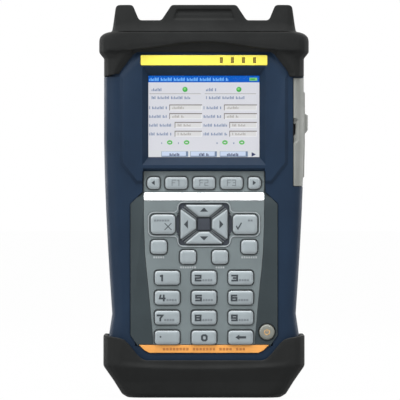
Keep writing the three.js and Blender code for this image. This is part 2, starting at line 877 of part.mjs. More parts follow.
const padCross = mirroredOutline([
  [padWellHalf, -padWellReach],
  [padWellHalf, -padWingHeight],
  [padWingHalf, -padWingHeight],
  [padWingHalf, padWingHeight],
  [padWellHalf, padWingHeight],
  [padWellHalf, padWellReach],
]).map(([x, z]) => [x, z + padCentre]);

const padCrossGrown = (swell) => rounded(grow(padCross, swell), padCorner);

// ================================================================ keypad pieces
function keypadSurround() {
  const pocket = mirroredOutline([
    [plateBottomHalf + seat, panelBottom + seat],
    [plateHalf + seat, plateShoulder],
    [plateHalf + seat, panelTop + seat],
  ]);
  return padLayer(panelOutline, 0, panelThickness)
    .subtract(padLayer(pocket, -far / 2, plateThickness + seat))
    .subtract(prism(rectangle(far / 2, 0, accentTop), -far, accentThickness + seat - padDepth))
    .subtract(union(...keys.map(squareAperture)));
}

function keypadPlate() {
  const trimBed = rectangle(far / 2, slopeBottom, slopeTop);
  return padLayer(plateOutline, 0, plateThickness)
    .subtract(padLayer(trimBed, -far / 2, plateThickness - trimRest))
    .subtract(prism(padCrossGrown(padFrameRim + seat), -far, far))
    .subtract(union(...keys.filter((item) => !padKeys.includes(item)).map(aperture)));
}

const silverTrim = () =>
  padLayer(rectangle(plateHalf - seat, slopeBottom + seat, slopeTop - seat), 0, trimThickness);

function dpadFrame() {
  const back = plateThickness - padDepth;
  const body = prism(padCrossGrown(padFrameRim), -padFrameProud - padDepth, back)
    .subtract(prism(padCrossGrown(0), -far, back - padFrameFloor))
    .subtract(union(...padKeys.map(aperture)));
  const hub = faceLoft([
    [centred(2 * hubHalf, 2 * hubHalf, 0, padCentre), back],
    [centred(2 * hubHalf, 2 * hubHalf, 0, padCentre), -padDepth - hubProud / 2],
    [centred(2 * (hubHalf - hubBevel), 2 * (hubHalf - hubBevel), 0, padCentre), -padDepth - hubProud],
  ]);
  return body.add(hub);
}

const accentStrip = () =>
  prism(grow(accentOutline, -seat), -padDepth, accentThickness - padDepth);

const openingForm = (shrink) => union(
  prism(grow(openingOutline, -shrink), -far, far),
  prism(circle(powerRoom - shrink, powerX, powerZ), -far, far),
);

const keyMat = () => padLayer(grow(panelOutline, matLap), matNear, far / 4)
  .intersect(openingForm(matGap))
  .intersect(block(-far, far, -far, -boardFront - seat, 0, openingTop - matGap));

// ================================================================ display and indicator
const windowOutline = (swell) => rectangle(
  glassHalf + windowLap + swell, glassBottom - windowLap - swell, glassTop + windowLap + swell);

const displayWindow = () => prism(windowOutline(0), -glassDepth, windowThickness - glassDepth);

function lcdModule() {
  const front = windowThickness - glassDepth + seat;
  const face = rectangle(glassHalf + lcdFaceLap, glassBottom - lcdFaceLap, glassTop + lcdFaceLap);
  const outline = rectangle(glassHalf + lcdLap, glassBottom - lcdFoot, glassTop + lcdHead);
  return prism(outline, front, front + lcdThickness)
    .subtract(prism(face, -far, front + lcdFaceDeep));
}

// The sloped display well, carried a little past the face of the plateau.
function displayWell() {
  const lip = glassDepth + seat;
  const stage = (t) => [rectangle(
    glassHalf + wellSlant * t,
    glassBottom - wellFoot * t,
    glassTop + wellHead * t,
  ), -mix(lip, plateauDepth, t)];
  const throat = prism(stage(0)[0], -lip - seat, far);
  return throat.add(faceLoft([stage(0), stage(wellOverrun)]));
}

const stripOutline = rectangle(stripHalf, stripBottom, stripTop);
const slotHeightAt = (stripBottom + stripTop) / 2;
const slots = (shrink, front, rear) => union(...repeat(slotCount, (i) => prism(
  centred(slotWidth - 2 * shrink, slotHeight - 2 * shrink, slotFirst + i * slotPitch, slotHeightAt),
  front, rear)));
const stripFront = -plateauDepth - stripProud;

const indicatorStrip = () =>
  prism(rounded(stripOutline, stripCorner), stripFront, stripFront + stripThickness)
    .subtract(slots(0, -far, far));

function lightPipe() {
  const front = caseWall - caseFront + seat;
  const span = (slotCount - 1) * slotPitch;
  const bar = centred(span + 2 * slotWidth, slotHeight, slotFirst + span / 2, slotHeightAt);
  const rods = slots(seat, stripFront + seat, front + pipeThickness / 2);
  return prism(bar, front, front + pipeThickness).add(rods);
}

// ================================================================ board and ports
const screwPlaces = [
  [-upperScrewX, upperScrewZ],
  [upperScrewX, upperScrewZ],
  [-lowerScrewX, lowerScrewZ],
  [lowerScrewX, lowerScrewZ],
];
const pillars = (radius, front, rear) => union(...screwPlaces.map(([x, z]) =>
  rod(radius, [x, front, z], [x, rear, z], bossSteps)));

function mainBoard() {
  const outline = mirroredOutline([
    [boardHalf, boardBottom],
    [boardHalf, boardStep],
    [boardUpperHalf, boardStep + boardStepTall],
    [boardUpperHalf, boardTop],
  ]);
  return prism(outline, -boardFront, boardRear).subtract(pillars(bossNeck + seat, -far, far));
}

function testJacks() {
  const middle = portFront + jackDepth / 2;
  const mouth = (i) => {
    const x = jackCentre + (i - 0.5) * jackPitch;
    const rear = middle + jackMouthDepth / 2;
    const hollow = block(x - jackMouthWidth / 2, x + jackMouthWidth / 2,
      rear - jackMouthDepth, rear, portTop - jackMouthDeep, far);
    const tab = block(x - jackTabWidth / 2, x + jackTabWidth / 2,
      middle, rear + jackTabDepth, portTop - jackMouthDeep, far);
    return hollow.add(tab);
  };
  return block(jackCentre - jackWidth / 2, jackCentre + jackWidth / 2,
    portFront, portFront + jackDepth, portTop - jackHeight, portTop).subtract(union(...repeat(2, mouth)));
}

function opticCage() {
  const middle = portFront + cageDepth / 2;
  const mouth = (i) => {
    const x = cageCentre + (i - 0.5) * cagePitch;
    return block(x - cageMouthWidth / 2, x + cageMouthWidth / 2,
      middle - cageMouthDepth / 2, middle + cageMouthDepth / 2, portTop - cageMouthDeep, far);
  };
  return block(cageCentre - cageWidth / 2, cageCentre + cageWidth / 2,
    portFront, portFront + cageDepth, portTop - cageHeight, portTop).subtract(union(...repeat(2, mouth)));
}

function portPanel() {
  const half = wellHalf - portPanelGap;
  const deep = wellDepth - portPanelGap;
  const plan = rounded(rectangle(half, -deep, deep), crownRound);
  const jacks = block(jackCentre - jackWidth / 2 - seat, jackCentre + jackWidth / 2 + seat,
    portFront - seat, portFront + jackDepth + seat, 0, far);
  const cage = block(cageCentre - cageWidth / 2 - seat, cageCentre + cageWidth / 2 + seat,
    portFront - seat, portFront + cageDepth + seat, 0, far);
  return upright(plan, caseTop + seat, portTop).subtract(jacks).subtract(cage);
}

// ================================================================ side bay, sockets, door and latch
function sideBay() {
  const form = block(bayInner, bayOuter, -bayFront, bayRear, bayBottom, bayTop)
    .intersect(caseForm(doorSkin + seat));
  const hollow = block(bayInner + bayFloor, far, bayWall - bayFront, bayRear - bayWall,
    bayBottom + bayWall, bayTop - bayWall);
  const tongueFront = latchMiddle - latchNeckWidth;
  const tongueRear = latchMiddle + latchNeckWidth;
  const lip = block(tongueOuter + seat, bayOuter, -bayFront, tongueRear, catchBottom, catchTop)
    .add(block(doorInner - bayWall, bayOuter, -bayFront, tongueFront - 2 * seat, catchBottom, catchTop))
    .intersect(caseForm(doorSkin + seat));
  return form.subtract(hollow).add(lip)
    .subtract(socketBlock(usbCentre, usbHeight, usbThickness, seat))
    .subtract(socketBlock(inletCentre, inletHeight, inletThickness, seat));
}

// The housing of a side socket, seated on the board with its mouth towards the door.
function socketBlock(z, height, thickness, swell) {
  return block(socketMouth - socketDeep - swell, socketMouth + swell, portFront - swell,
    portFront + thickness + swell, z - height / 2 - swell, z + height / 2 + swell);
}

function usbSocket() {
  const middle = portFront + usbThickness / 2;
  const floor = socketMouth - socketMouthDeep;
  const across = (half) => [usbCentre - half, usbCentre + half];
  const mouthHalf = usbMouthHeight / 2;
  const hollow = block(floor, far, middle - usbMouthThickness / 2, middle + usbMouthThickness / 2,
    ...across(mouthHalf));
  const tongue = block(floor - seat, socketMouth - usbTongueInset, middle - usbTongue, middle,
    ...across(mouthHalf - usbTongueInset));
  return socketBlock(usbCentre, usbHeight, usbThickness, 0).subtract(hollow).add(tongue);
}

function dcJack() {
  const at = (x) => [x, portFront + inletThickness / 2, inletCentre];
  const floor = socketMouth - socketMouthDeep;
  return socketBlock(inletCentre, inletHeight, inletThickness, 0)
    .subtract(rod(inletBore, at(floor), at(socketMouth + seat)))
    .add(rod(inletPin, at(floor - seat), at(socketMouth - inletPinDeep), pinSteps));
}

const hingeRod = (radius, low, high) => rod(radius, [hingeX, hingeY, low], [hingeX, hingeY, high]);

// The room that the door and its hinge take out of the case.
const doorRoom = () => union(
  block(doorInner - seat, far, -far, bayRear + seat, doorGapLow, doorGapHigh),
  block(hingeX - hingeRadius, far, -far, hingeY, doorGapLow, doorGapHigh),
  hingeRod(hingeClearance, doorGapLow, doorGapHigh),
);

function hingeEars() {
  const earRear = hingeY + hingeClearance + hingeRoot;
  const ear = (low, high) => hingeRod(hingeRadius, low, high)
    .add(block(hingeX - hingeRadius, shoulderHalf - hair, hingeY, earRear, low, high));
  const grip = hingeRoom / 2; // each ear runs on into the case above or below it
  return ear(doorGapLow - grip, doorGapLow + hingeEar).add(ear(doorGapHigh - hingeEar, doorGapHigh + grip))
    .intersect(caseForm(hair))
    .intersect(block(-far, far, -far, far, 0, skirtHeight - seat - hair))
    .subtract(hingeRod(hingePin + seat, 0, far));
}

const doorPin = () => hingeRod(hingePin, doorGapLow, doorGapHigh);

function sideDoor() {
  const region = block(doorInner, far, -far, hingeY, doorBottom, doorTop);
  const skin = caseForm(0).subtract(caseForm(doorSkin)).intersect(region);
  const band = caseForm(-doorBandProud).subtract(caseForm(doorSkin / 2))
    .intersect(block(doorInner + bayWall, far, -doorBandFront, doorBandRear, doorBandBottom, doorBandTop));
  const clearEar = hingeY - hingeRadius - doorEarGap;
  const ears = union(
    block(-far, far, clearEar, far, 0, knuckleLow),
    block(-far, far, clearEar, far, knuckleHigh, far),
  );
  const slotLow = latchBottom + latchNeckRise - seat;
  const slot = block(0, far, latchMiddle - latchNeckWidth / 2 - seat, latchMiddle + latchNeckWidth / 2 + seat,
    slotLow, slotLow + latchNeckHeight + latchTravel + 2 * seat);
  const notchFoot = doorBottom + notchRise;
  const notchPlan = rectangle(notchWidth, notchFoot, notchFoot + notchHeight, doorInner);
  const notch = prism(rounded(notchPlan, notchCorner), -far, notchDeep - caseFront);
  return skin.add(band).subtract(ears)
    .add(hingeRod(hingeRadius, knuckleLow, knuckleHigh))
    .subtract(hingeRod(hingePin + seat, 0, far))
    .subtract(slot)
    .subtract(notch);
}

function doorLatch() {
  const face = shoulderHalf + doorBandProud + seat;
  const rootX = tongueOuter - latchOverlap;
  const neckLow = latchBottom + latchNeckRise;
  const knob = prism([
    [face, latchBottom],
    [latchOuter - latchChamferDeep, latchBottom],
    [latchOuter, latchBottom + latchChamfer],
    [latchOuter, latchTop - latchChamfer],
    [latchOuter - latchChamferDeep, latchTop],
    [face, latchTop],
  ], -latchFront, -latchRear);
  const across = (half) => [latchMiddle - half, latchMiddle + half];
  const neckTop = neckLow + latchNeckHeight;
  const neck = block(rootX, face + latchOverlap, ...across(latchNeckWidth / 2), neckLow, neckTop);
  const pad = block(rootX, skinInner, ...across(latchNeckWidth), latchTongueBottom, neckTop + latchOverlap);
  const tongue = block(tongueOuter - latchTongueThickness, tongueOuter, ...across(latchNeckWidth),
    latchTongueBottom, latchTongueTop);
  return union(knob, neck, pad, tongue);
}

// ================================================================ back: battery bay and tilt stand
const batteryForm = (swell) => block(-batteryHalf - swell, batteryHalf + swell,
  batteryFront - swell, batteryRear - seat + swell, batteryBottom - swell, batteryTop + swell);

const batteryCoverOutline = (swell) =>
  rounded(rectangle(batteryCoverHalf + swell, batteryCoverBottom - swell, batteryCoverTop + swell),
    batteryCoverCorner + swell);

function batteryPack() {
  const reach = batteryHalf - batteryRibInset;
  const rib = (i) => {
    const foot = batteryBottom + batteryRibFirst + i * batteryRibPitch;
    return block(-reach, reach, -far, batteryFront + batteryRibDeep, foot, foot + batteryRibHeight);
  };
  return batteryForm(0).subtract(union(...repeat(batteryRibs, rib)));
}

function batteryCover() {
  const grip = (i) => {
    const top = batteryCoverTop - gripFirst - i * gripPitch;
    return block(-gripHalf, gripHalf, caseRear - gripDeep, far, top - gripHeight, top);
  };
  return prism(batteryCoverOutline(0), batteryRear + seat, caseRear)
    .subtract(union(...repeat(gripCount, grip)))
    .subtract(rod(screwShank + seat, [0, 0, batteryScrewZ], [0, far, batteryScrewZ], screwSteps))
    .subtract(rod(screwHead + seat, [0, caseRear - screwHeadHeight / 2 - seat, batteryScrewZ],
      [0, far, batteryScrewZ], screwSteps));
}

// A screw along Y with its slotted head to the rear.
function screw(x, z, tip, seatY) {
  const top = seatY + screwHeadHeight;
  const slot = block(x - far, x + far, top - screwSlot, far, z - screwSlot / 2, z + screwSlot / 2);
  return rod(screwShank, [x, tip, z], [x, seatY + hair, z], screwSteps)
    .add(rod(screwHead, [x, seatY, z], [x, top, z], screwSteps).subtract(slot));
}

const batteryScrew = () =>
  screw(0, batteryScrewZ, caseRear - batteryScrewReach, caseRear - screwHeadHeight / 2);

const standRod = (radius, reach) =>
  rod(radius, [-reach, standAxis, standHinge], [reach, standAxis, standHinge]);

function kickstand() {
  const front = standRear - standThickness;
  const outline = rounded(rectangle(standHalf, standBottom, standHinge), standCorner);
  const square = rectangle(standHalf, standHinge - 2 * standCorner, standHinge);
  const plate = prism(outline, front, standRear).add(prism(square, front, standRear));
  const rib = (i) => {
    const foot = standBottom + (i + 1) * standRibPitch;
    return block(-standRibHalf, standRibHalf, front - standRibHeight, standRear - standRibRoot,
      foot, foot + standRibWidth);
  };
  return union(plate, standRod(standBarrel, standHalf),
    standRod(standTrunnion, standHalf + standTrunnionReach), ...repeat(standRibs, rib));
}

const standBay = (swell) => prism(
  rounded(rectangle(standHalf + standGap + swell, standBottom - standFootroom - swell, standTop + swell),
    standBayCorner),
  caseRear - standBayDepth - swell, far);

// The finger scoop under the stand, grown by a wall for its housing.
function standScoop(swell) {
  const profile = [
    [caseRear - scoopDepth - swell, standBottom],
    [far, standBottom],
    [far, scoopBottom - swell],
    [caseRear - scoopLip - swell, scoopBottom - swell],
  ];
  return sideways(profile, -scoopHalf - swell, scoopHalf + swell);
}

// ================================================================ case shells
function topOpening() {
  const deep = wellDepth - topOpeningFrontInset;
  return upright(rectangle(wellHalf - topOpeningInset, -deep, deep), skirtHeight, far);
}

const keypadPocket = (swell, deep) => padLayer(grow(panelOutline, swell), -far / 2, deep);

function frontCover() {
  const pocketDeep = panelThickness + seat;
  const display = prism(windowOutline(ledgeWall), -far, windowThickness - glassDepth);
  const hollow = caseForm(caseWall, cornerSteps)
    .subtract(keypadPocket(seat + ledgeWall, pocketDeep + ledgeWall).intersect(prism(
      rectangle(far, panelBottom - ledgeWall, panelTop + ledgeWall), -far, 0)))
    .subtract(display)
    .subtract(pillars(bossShoulder, -far, -boardFront - seat))
    .subtract(pillars(bossNeck, -far, -partingGap));
  const stripPocket = prism(rounded(grow(stripOutline, seat), stripCorner + seat), -far,
    stripFront + stripThickness + seat);
  const accentPocket = prism(accentOutline, -far, accentThickness + seat - padDepth);
  return caseForm(0).add(plateauForm())
    .intersect(block(-far, far, -far, -partingGap / 2, -far, far))
    .subtract(hollow)
    .subtract(keypadPocket(seat, pocketDeep))
    .subtract(openingForm(0).intersect(block(-far, far, -far, 0, 0, far)))
    .subtract(displayWell())
    .subtract(prism(windowOutline(seat), -glassDepth - seat, 0))
    .subtract(stripPocket)
    .subtract(accentPocket)
    .subtract(slots(0, -far, 0))
    .subtract(pillars(screwShank + seat, -screwReach - screwSink, far))
    .subtract(topOpening())
    .subtract(doorRoom());
}

function rearCover() {
  const batteryBay = batteryForm(seat);
  const hinge = hingeRod(hingeClearance + hingeRoom, doorGapLow - hingeRoom, doorGapHigh + hingeRoom)
    .subtract(block(-far, far, -far, bayRear + seat, 0, far));
  const screwPost = rod(screwHead, [0, batteryRear - batteryPostReach, batteryScrewZ],
    [0, far, batteryScrewZ], screwSteps);
  const hollow = caseForm(caseWall, cornerSteps)
    .subtract(batteryForm(seat + batteryBayWall).add(prism(
      batteryCoverOutline(ledgeWall), batteryRear - ledgeWall, far)))
    .subtract(standBay(ledgeWall))
    .subtract(standScoop(ledgeWall))
    .subtract(hinge)
    .subtract(screwPost)
    .subtract(pillars(bossRadius, partingGap, far));
  const screwBore = rod(screwShank + seat, [0, batteryRear - batteryBoreReach, batteryScrewZ],
    [0, far, batteryScrewZ], screwSteps);
  return caseForm(0)
    .intersect(block(-far, far, partingGap / 2, far, -far, far))
    .subtract(hollow)
    .subtract(batteryBay.add(block(-batteryHalf - seat, batteryHalf + seat, batteryFront, far,
      batteryBottom - seat, batteryTop + seat)))
    .subtract(prism(batteryCoverOutline(seat), batteryRear, far))
    .subtract(screwBore)
    .subtract(standBay(0))
    .subtract(standScoop(0))
    .subtract(standRod(standTrunnion + standTrunnionGap, standHalf + standTrunnionReach + standTrunnionEnd))
    .subtract(pillars(screwShank + seat, 0, far))
    .subtract(pillars(screwHead + seat, caseScrewSeat - seat, far))
    .subtract(topOpening())
    .subtract(doorRoom())
    .add(hingeEars());
}

// ================================================================ assembly
const finish = (color, roughness, metalness = 0) => ({ color, roughness, metalness });
const finishes = {
  shell: finish(0x2d3a55, 0.55),
  rubber: finish(0x2c2d2c, 0.8),
  lightGrey: finish(0x7d8487, 0.5),
  darkGrey: finish(0x444b4d, 0.55),
  keyGrey: finish(0xaab4ba, 0.45),
  keyDark: finish(0x4b4b52, 0.5),
  doorGrey: finish(0x8f918a, 0.55),
  yellow: finish(0xfdf76b, 0.45),
  orange: finish(0xfdb25a, 0.5),
  silver: finish(0xd8dcde, 0.25, 0.6),
  lens: finish(0xdfe4ea, 0.08),
  screen: finish(0xdadadc, 0.3),
  circuit: finish(0x1d5a3a, 0.5),
  metal: finish(0xb0b2b5, 0.35, 0.9),
  silicone: finish(0x8c9296, 0.7),
  cell: finish(0x26282b, 0.5),
};

const tester = new THREE.Group();

function place(name, solid, kind, at = [0, 0, 0], parent = tester) {
  const mesh = new THREE.Mesh(geometryOf(solid), new THREE.MeshStandardMaterial(finishes[kind]));
  mesh.name = name;
  mesh.position.set(...at);
  parent.add(mesh);
  return mesh;
}

const doorAssembly = new THREE.Group();
const keypad = new THREE.Group();
const electronics = new THREE.Group();
tester.add(doorAssembly, keypad, electronics);

place('front_cover', frontCover(), 'shell');
place('rear_cover', rearCover(), 'shell');
place('top_boot', topBoot(), 'rubber');
place('bottom_boot', bottomBoot(), 'rubber');
place('indicator_strip', indicatorStrip(), 'yellow');
place('light_pipe', lightPipe(), 'lens');
place('display_window', displayWindow(), 'lens');
place('accent_strip', accentStrip(), 'orange');
place('port_panel', portPanel(), 'darkGrey');
place('battery_pack', batteryPack(), 'cell');
place('battery_cover', batteryCover(), 'shell');
place('battery_screw', batteryScrew(), 'metal');
place('kickstand', kickstand(), 'darkGrey');
screwPlaces.forEach(([x, z], i) => {
  place(`case_screw_${i + 1}`, screw(x, z, -screwReach, caseScrewSeat), 'metal');
});

place('side_bay', sideBay(), 'darkGrey', [0, 0, 0], doorAssembly);
place('side_door', sideDoor(), 'doorGrey', [0, 0, 0], doorAssembly);
place('door_pin', doorPin(), 'metal', [0, 0, 0], doorAssembly);
place('door_latch', doorLatch(), 'doorGrey', [0, 0, 0], doorAssembly);

place('main_board', mainBoard(), 'circuit', [0, 0, 0], electronics);
place('lcd_module', lcdModule(), 'screen', [0, 0, 0], electronics);
place('test_jacks', testJacks(), 'cell', [0, 0, 0], electronics);
place('optic_cage', opticCage(), 'metal', [0, 0, 0], electronics);
place('usb_socket', usbSocket(), 'metal', [0, 0, 0], electronics);
place('dc_jack', dcJack(), 'cell', [0, 0, 0], electronics);

place('keypad_surround', keypadSurround(), 'darkGrey', [0, 0, 0], keypad);
place('keypad_plate', keypadPlate(), 'lightGrey', [0, 0, 0], keypad);
place('silver_trim', silverTrim(), 'silver', [0, 0, 0], keypad);
place('dpad_frame', dpadFrame(), 'keyDark', [0, 0, 0], keypad);
place('key_mat', keyMat(), 'silicone', [0, 0, 0], keypad);
keys.forEach((item) => place(item.name, keyForm(item), 'keyGrey', [item.x, -item.front, item.z], keypad));

export default tester;
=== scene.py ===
# %% [markdown]
# # A handheld network tester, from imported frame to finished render
# The tester stands upright and looks straight at us: a dark blue case between two black rubber
# boots, a lit display, a grey keypad and a hinged door on its side. Its mechanics come as a
# fixed frame of solids. This lesson gives each of them the shape and finish that the eye sees.
# Nothing here moves or resizes a frame part: a finer piece stands in for one only when a soft
# edge or a small detail needs more faces than the frame carries.

# %% Load the frame
import math

import bmesh
import bpy
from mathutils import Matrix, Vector
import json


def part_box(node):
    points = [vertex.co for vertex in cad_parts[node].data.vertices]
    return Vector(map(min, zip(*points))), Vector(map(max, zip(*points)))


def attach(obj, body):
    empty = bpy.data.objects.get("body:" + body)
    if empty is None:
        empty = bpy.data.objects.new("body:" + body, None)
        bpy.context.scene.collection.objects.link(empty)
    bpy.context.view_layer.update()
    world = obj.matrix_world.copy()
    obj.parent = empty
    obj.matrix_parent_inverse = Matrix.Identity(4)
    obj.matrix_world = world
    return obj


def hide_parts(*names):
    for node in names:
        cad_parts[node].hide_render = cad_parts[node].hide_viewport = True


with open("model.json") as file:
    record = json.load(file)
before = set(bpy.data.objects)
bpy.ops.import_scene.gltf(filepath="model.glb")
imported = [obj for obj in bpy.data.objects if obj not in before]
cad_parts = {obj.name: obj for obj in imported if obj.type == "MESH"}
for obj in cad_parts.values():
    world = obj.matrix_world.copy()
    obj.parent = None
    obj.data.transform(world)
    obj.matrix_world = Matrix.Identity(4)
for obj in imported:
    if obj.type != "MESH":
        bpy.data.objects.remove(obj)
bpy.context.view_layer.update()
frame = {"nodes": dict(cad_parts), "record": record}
MM = 0.001  # outlines below are written in millimetres, and meshes are made in metres

# %% [markdown]
# ## Camera, light and floor
# The photo is a catalogue shot: dead frontal, long lens, white all round. A short lens would
# splay the sides of the case, so the camera stands almost three metres away with a 400 mm lens.
# The view's width is known from the size of the display, which fixes the distance.

# %% Camera
LENS = 400.0
SENSOR = 36.0
VIEW_WIDTH = 0.2503  # metres across the picture, at the face of the tester
VIEW_X = -0.0025
VIEW_Z = 0.1239
FACE_Y = -0.0248



def link(thing):
    bpy.context.scene.collection.objects.link(thing)
    return thing


camera = link(bpy.data.objects.new("camera", bpy.data.cameras.new("camera")))
camera.data.lens = LENS
camera.data.sensor_width = SENSOR
distance = VIEW_WIDTH * LENS / SENSOR
camera.location = (VIEW_X, FACE_Y - distance, VIEW_Z)
camera.rotation_euler = (math.radians(90), 0, 0)
camera.data.clip_end = 50
bpy.context.scene.camera = camera
bpy.context.scene.view_settings.view_transform = "Standard"
print(f"camera stands {distance:.2f} m from the face")

# %% [markdown]
# The light in the photo comes from above: every ledge that looks up is bright, and every wall
# that looks down is dark. One wide lamp hangs over the front, a weaker one fills from the left,
# and the world gives an even base. Two rim lamps stand behind the sides, because the rounded
# edges of the case turn pale there, as they do in front of a white backdrop. Two small lamps
# high up at the front reach the bevels. The sum is set so that a mid grey renders as written.

# %% Lamps
CENTRE = Vector((0, 0, 0.12))
LAMPS = {  # place, width and height in metres, watts
    "top_lamp": ((0.0, -0.55, 1.25), (1.1, 0.6), 17.0),
    "left_lamp": ((-1.3, -0.9, 0.6), (0.5, 0.8), 9.0),
    "right_lamp": ((1.4, -0.6, 0.4), (0.5, 1.0), 1.5),
    "back_lamp": ((0.3, 1.3, 0.9), (1.0, 0.8), 7.0),
    "rim_lamp_left": ((-1.0, 0.75, 0.3), (0.5, 0.9), 9.0),
    "rim_lamp_right": ((1.0, 0.75, 0.3), (0.5, 0.9), 7.0),
    "glint_lamp": ((0.35, -0.75, 1.0), (0.22, 0.12), 1.6),
    "bevel_lamp_left": ((-0.95, -1.0, 1.1), (0.4, 0.4), 5.0),
    "bevel_lamp_right": ((0.95, -1.0, 1.1), (0.4, 0.4), 2.0),
}
for name, (place, size, watts) in LAMPS.items():
    data = bpy.data.lights.new(name, "AREA")
    data.shape = "RECTANGLE"
    data.size, data.size_y = size
    data.energy = watts
    lamp = link(bpy.data.objects.new(name, data))
    lamp.location = place
    lamp.rotation_euler = (CENTRE - Vector(place)).to_track_quat("-Z", "Y").to_euler()
print("lamps:", len(LAMPS))

# %% [markdown]
# World, floor and every material are trees of nodes. A node is written here in one line: its
# kind, what goes into it, and its settings. An input takes a plain value, or the output of
# another node, which is then linked.

# %% Nodes
def new_tree(owner):
    owner.use_nodes = True
    owner.node_tree.nodes.clear()
    return owner.node_tree


def feed(tree, socket, value):
    if isinstance(value, bpy.types.NodeSocket):
        tree.links.new(value, socket)
    else:
        socket.default_value = value


def add_node(tree, kind, inputs=None, **settings):
    made = tree.nodes.new(kind if kind.startswith("NodeGroup") else "ShaderNode" + kind)
    for name, value in settings.items():
        setattr(made, name, value)
    for label, value in (inputs or {}).items():
        feed(tree, made.inputs[label], value)
    return made


def maths(tree, operation, *values):
    return add_node(tree, "Math", dict(enumerate(values)), operation=operation).outputs[0]


def seen_directly(tree):
    """1 where a ray shows the background: to the camera, in a reflection or through glass."""
    ray = add_node(tree, "LightPath").outputs
    first = maths(tree, "MAXIMUM", ray["Is Camera Ray"], ray["Is Glossy Ray"])
    return maths(tree, "MAXIMUM", first, ray["Is Transmission Ray"])


def mixed(tree, end, share, first, second):
    """Ends a tree with a mix of two shaders."""
    parts = {"Fac": share, 1: first.outputs[0], 2: second.outputs[0]}
    mix = add_node(tree, "MixShader", parts)
    add_node(tree, end, {"Surface": mix.outputs[0]})


# %% World and floor
WHITE = (1, 1, 1, 1)
WORLD_FILL = 0.46
world = bpy.data.worlds.new("studio")
bpy.context.scene.world = world
tree = new_tree(world)
mixed(tree, "OutputWorld", seen_directly(tree),
      add_node(tree, "Background", {"Color": WHITE, "Strength": WORLD_FILL}),
      add_node(tree, "Background", {"Color": WHITE, "Strength": 1.0}))

FLOOR_HALF = 15.0
FLOOR_WHITE = 0.985  # share of plain white in what the camera sees; the rest keeps the shadow
floor_mesh = bpy.data.meshes.new("floor")
corners = [(x * FLOOR_HALF, y * FLOOR_HALF, 0) for x, y in ((-1, -1), (1, -1), (1, 1), (-1, 1))]
floor_mesh.from_pydata(corners, [], [(0, 1, 2, 3)])
floor = link(bpy.data.objects.new("floor", floor_mesh))
floor_material = bpy.data.materials.new("pale_floor")
tree = new_tree(floor_material)
mixed(tree, "OutputMaterial", maths(tree, "MULTIPLY", seen_directly(tree), FLOOR_WHITE),
      add_node(tree, "BsdfDiffuse", {"Color": (0.55, 0.55, 0.55, 1)}),
      add_node(tree, "Emission", {"Color": WHITE}))
floor_mesh.materials.append(floor_material)
print("stage ready")

# %% [markdown]
# ## Surface effects as node groups
# Moulded plastic, rubber and silicone differ mostly in the same three ways: how coarse their
# grain is, how cloudy their sheen is, and how pale their edges are, partly from wear and partly
# from a painted highlight along them. Each effect is a node group, built once here. A group only
# puts out masks, heights and normals, and the shader itself stays in each material, where its
# plain values are easy to find.

# %% Group helpers
FLOAT, VECTOR = "NodeSocketFloat", "NodeSocketVector"


def new_group(name, inputs, outputs):
    """An empty group, and what comes in; `close_group` links what goes out."""
    group = bpy.data.node_groups.new(name, "ShaderNodeTree")
    for label, value in inputs.items():
        made = group.interface.new_socket(name=label, in_out="INPUT", socket_type=FLOAT)
        made.default_value = value
    for label, kind in outputs.items():
        group.interface.new_socket(name=label, in_out="OUTPUT", socket_type=kind)
    return group, add_node(group, "NodeGroupInput").outputs


def close_group(group, **outputs):
    add_node(group, "NodeGroupOutput", outputs)
    return group


def spread(tree, value, low, high, out_low, out_high):
    ranges = {"Value": value, "From Min": low, "From Max": high,
              "To Min": out_low, "To Max": out_high}
    return add_node(tree, "MapRange", ranges).outputs["Result"]


def in_place(tree):
    """Object space, where the frame's metres are the unit on every piece."""
    return add_node(tree, "TexCoord").outputs["Object"]


def noise(tree, scale, detail=3.0, roughness=0.5):
    inputs = {"Vector": in_place(tree), "Scale": scale, "Detail": detail, "Roughness": roughness}
    return add_node(tree, "TexNoise", inputs).outputs["Fac"]


# %% [markdown]
# Spark-eroded moulds leave a fine pebble on plastic. Two sizes of noise are enough for it: one
# for the pebbles, and a finer one that keeps their tops from being smooth.

# %% Group: moulded grain
group, given = new_group("moulded_grain", {"Scale": 2500.0}, {"Height": FLOAT})
coarse = noise(group, given["Scale"], 2.0)
fine = noise(group, maths(group, "MULTIPLY", given["Scale"], 2.7), 1.0)
GRAIN = close_group(group, Height=maths(group, "ADD", coarse, maths(group, "MULTIPLY", fine, 0.4)))

# %% [markdown]
# Hands leave a surface cloudy: some patches are polished, others dull. A slow noise gives a
# mask from 0 to 1 that the materials use for both their colour and their roughness.

# %% Group: cloudy handling
group, given = new_group("cloudy_handling", {"Scale": 40.0}, {"Mask": FLOAT})
slow = noise(group, given["Scale"], 4.0, 0.6)
CLOUDS = close_group(group, Mask=spread(group, slow, 0.35, 0.68, 0.0, 1.0))

# %% [markdown]
# An edge is painted a little paler than the face beside it: partly as wear on a knocked edge,
# partly as a painted highlight along it. The Bevel node gives the normal that a rounded edge would
# have. Where it leaves the true normal there is an edge, and a noise breaks the line up, because
# wear is never even.

# %% Group: worn and highlit edge
group, given = new_group("worn_and_highlit_edge", {"Radius": 0.0006, "Breaks": 350.0},
                         {"Mask": FLOAT, "Normal": VECTOR})
bevel = add_node(group, "Bevel", {"Radius": given["Radius"]}, samples=4).outputs[0]
truth = add_node(group, "NewGeometry").outputs["Normal"]
dot = add_node(group, "VectorMath", {0: bevel, 1: truth}, operation="DOT_PRODUCT").outputs["Value"]
edge = spread(group, dot, 0.98, 0.80, 0.0, 1.0)
patches = spread(group, noise(group, given["Breaks"], 2.0), 0.42, 0.62, 0.15, 1.0)
WORN_AND_HIGHLIT = close_group(group, Mask=maths(group, "MULTIPLY", edge, patches), Normal=bevel)

# %% [markdown]
# Dust settles on whatever faces up. The mask is the upward part of the normal, thinned by noise.

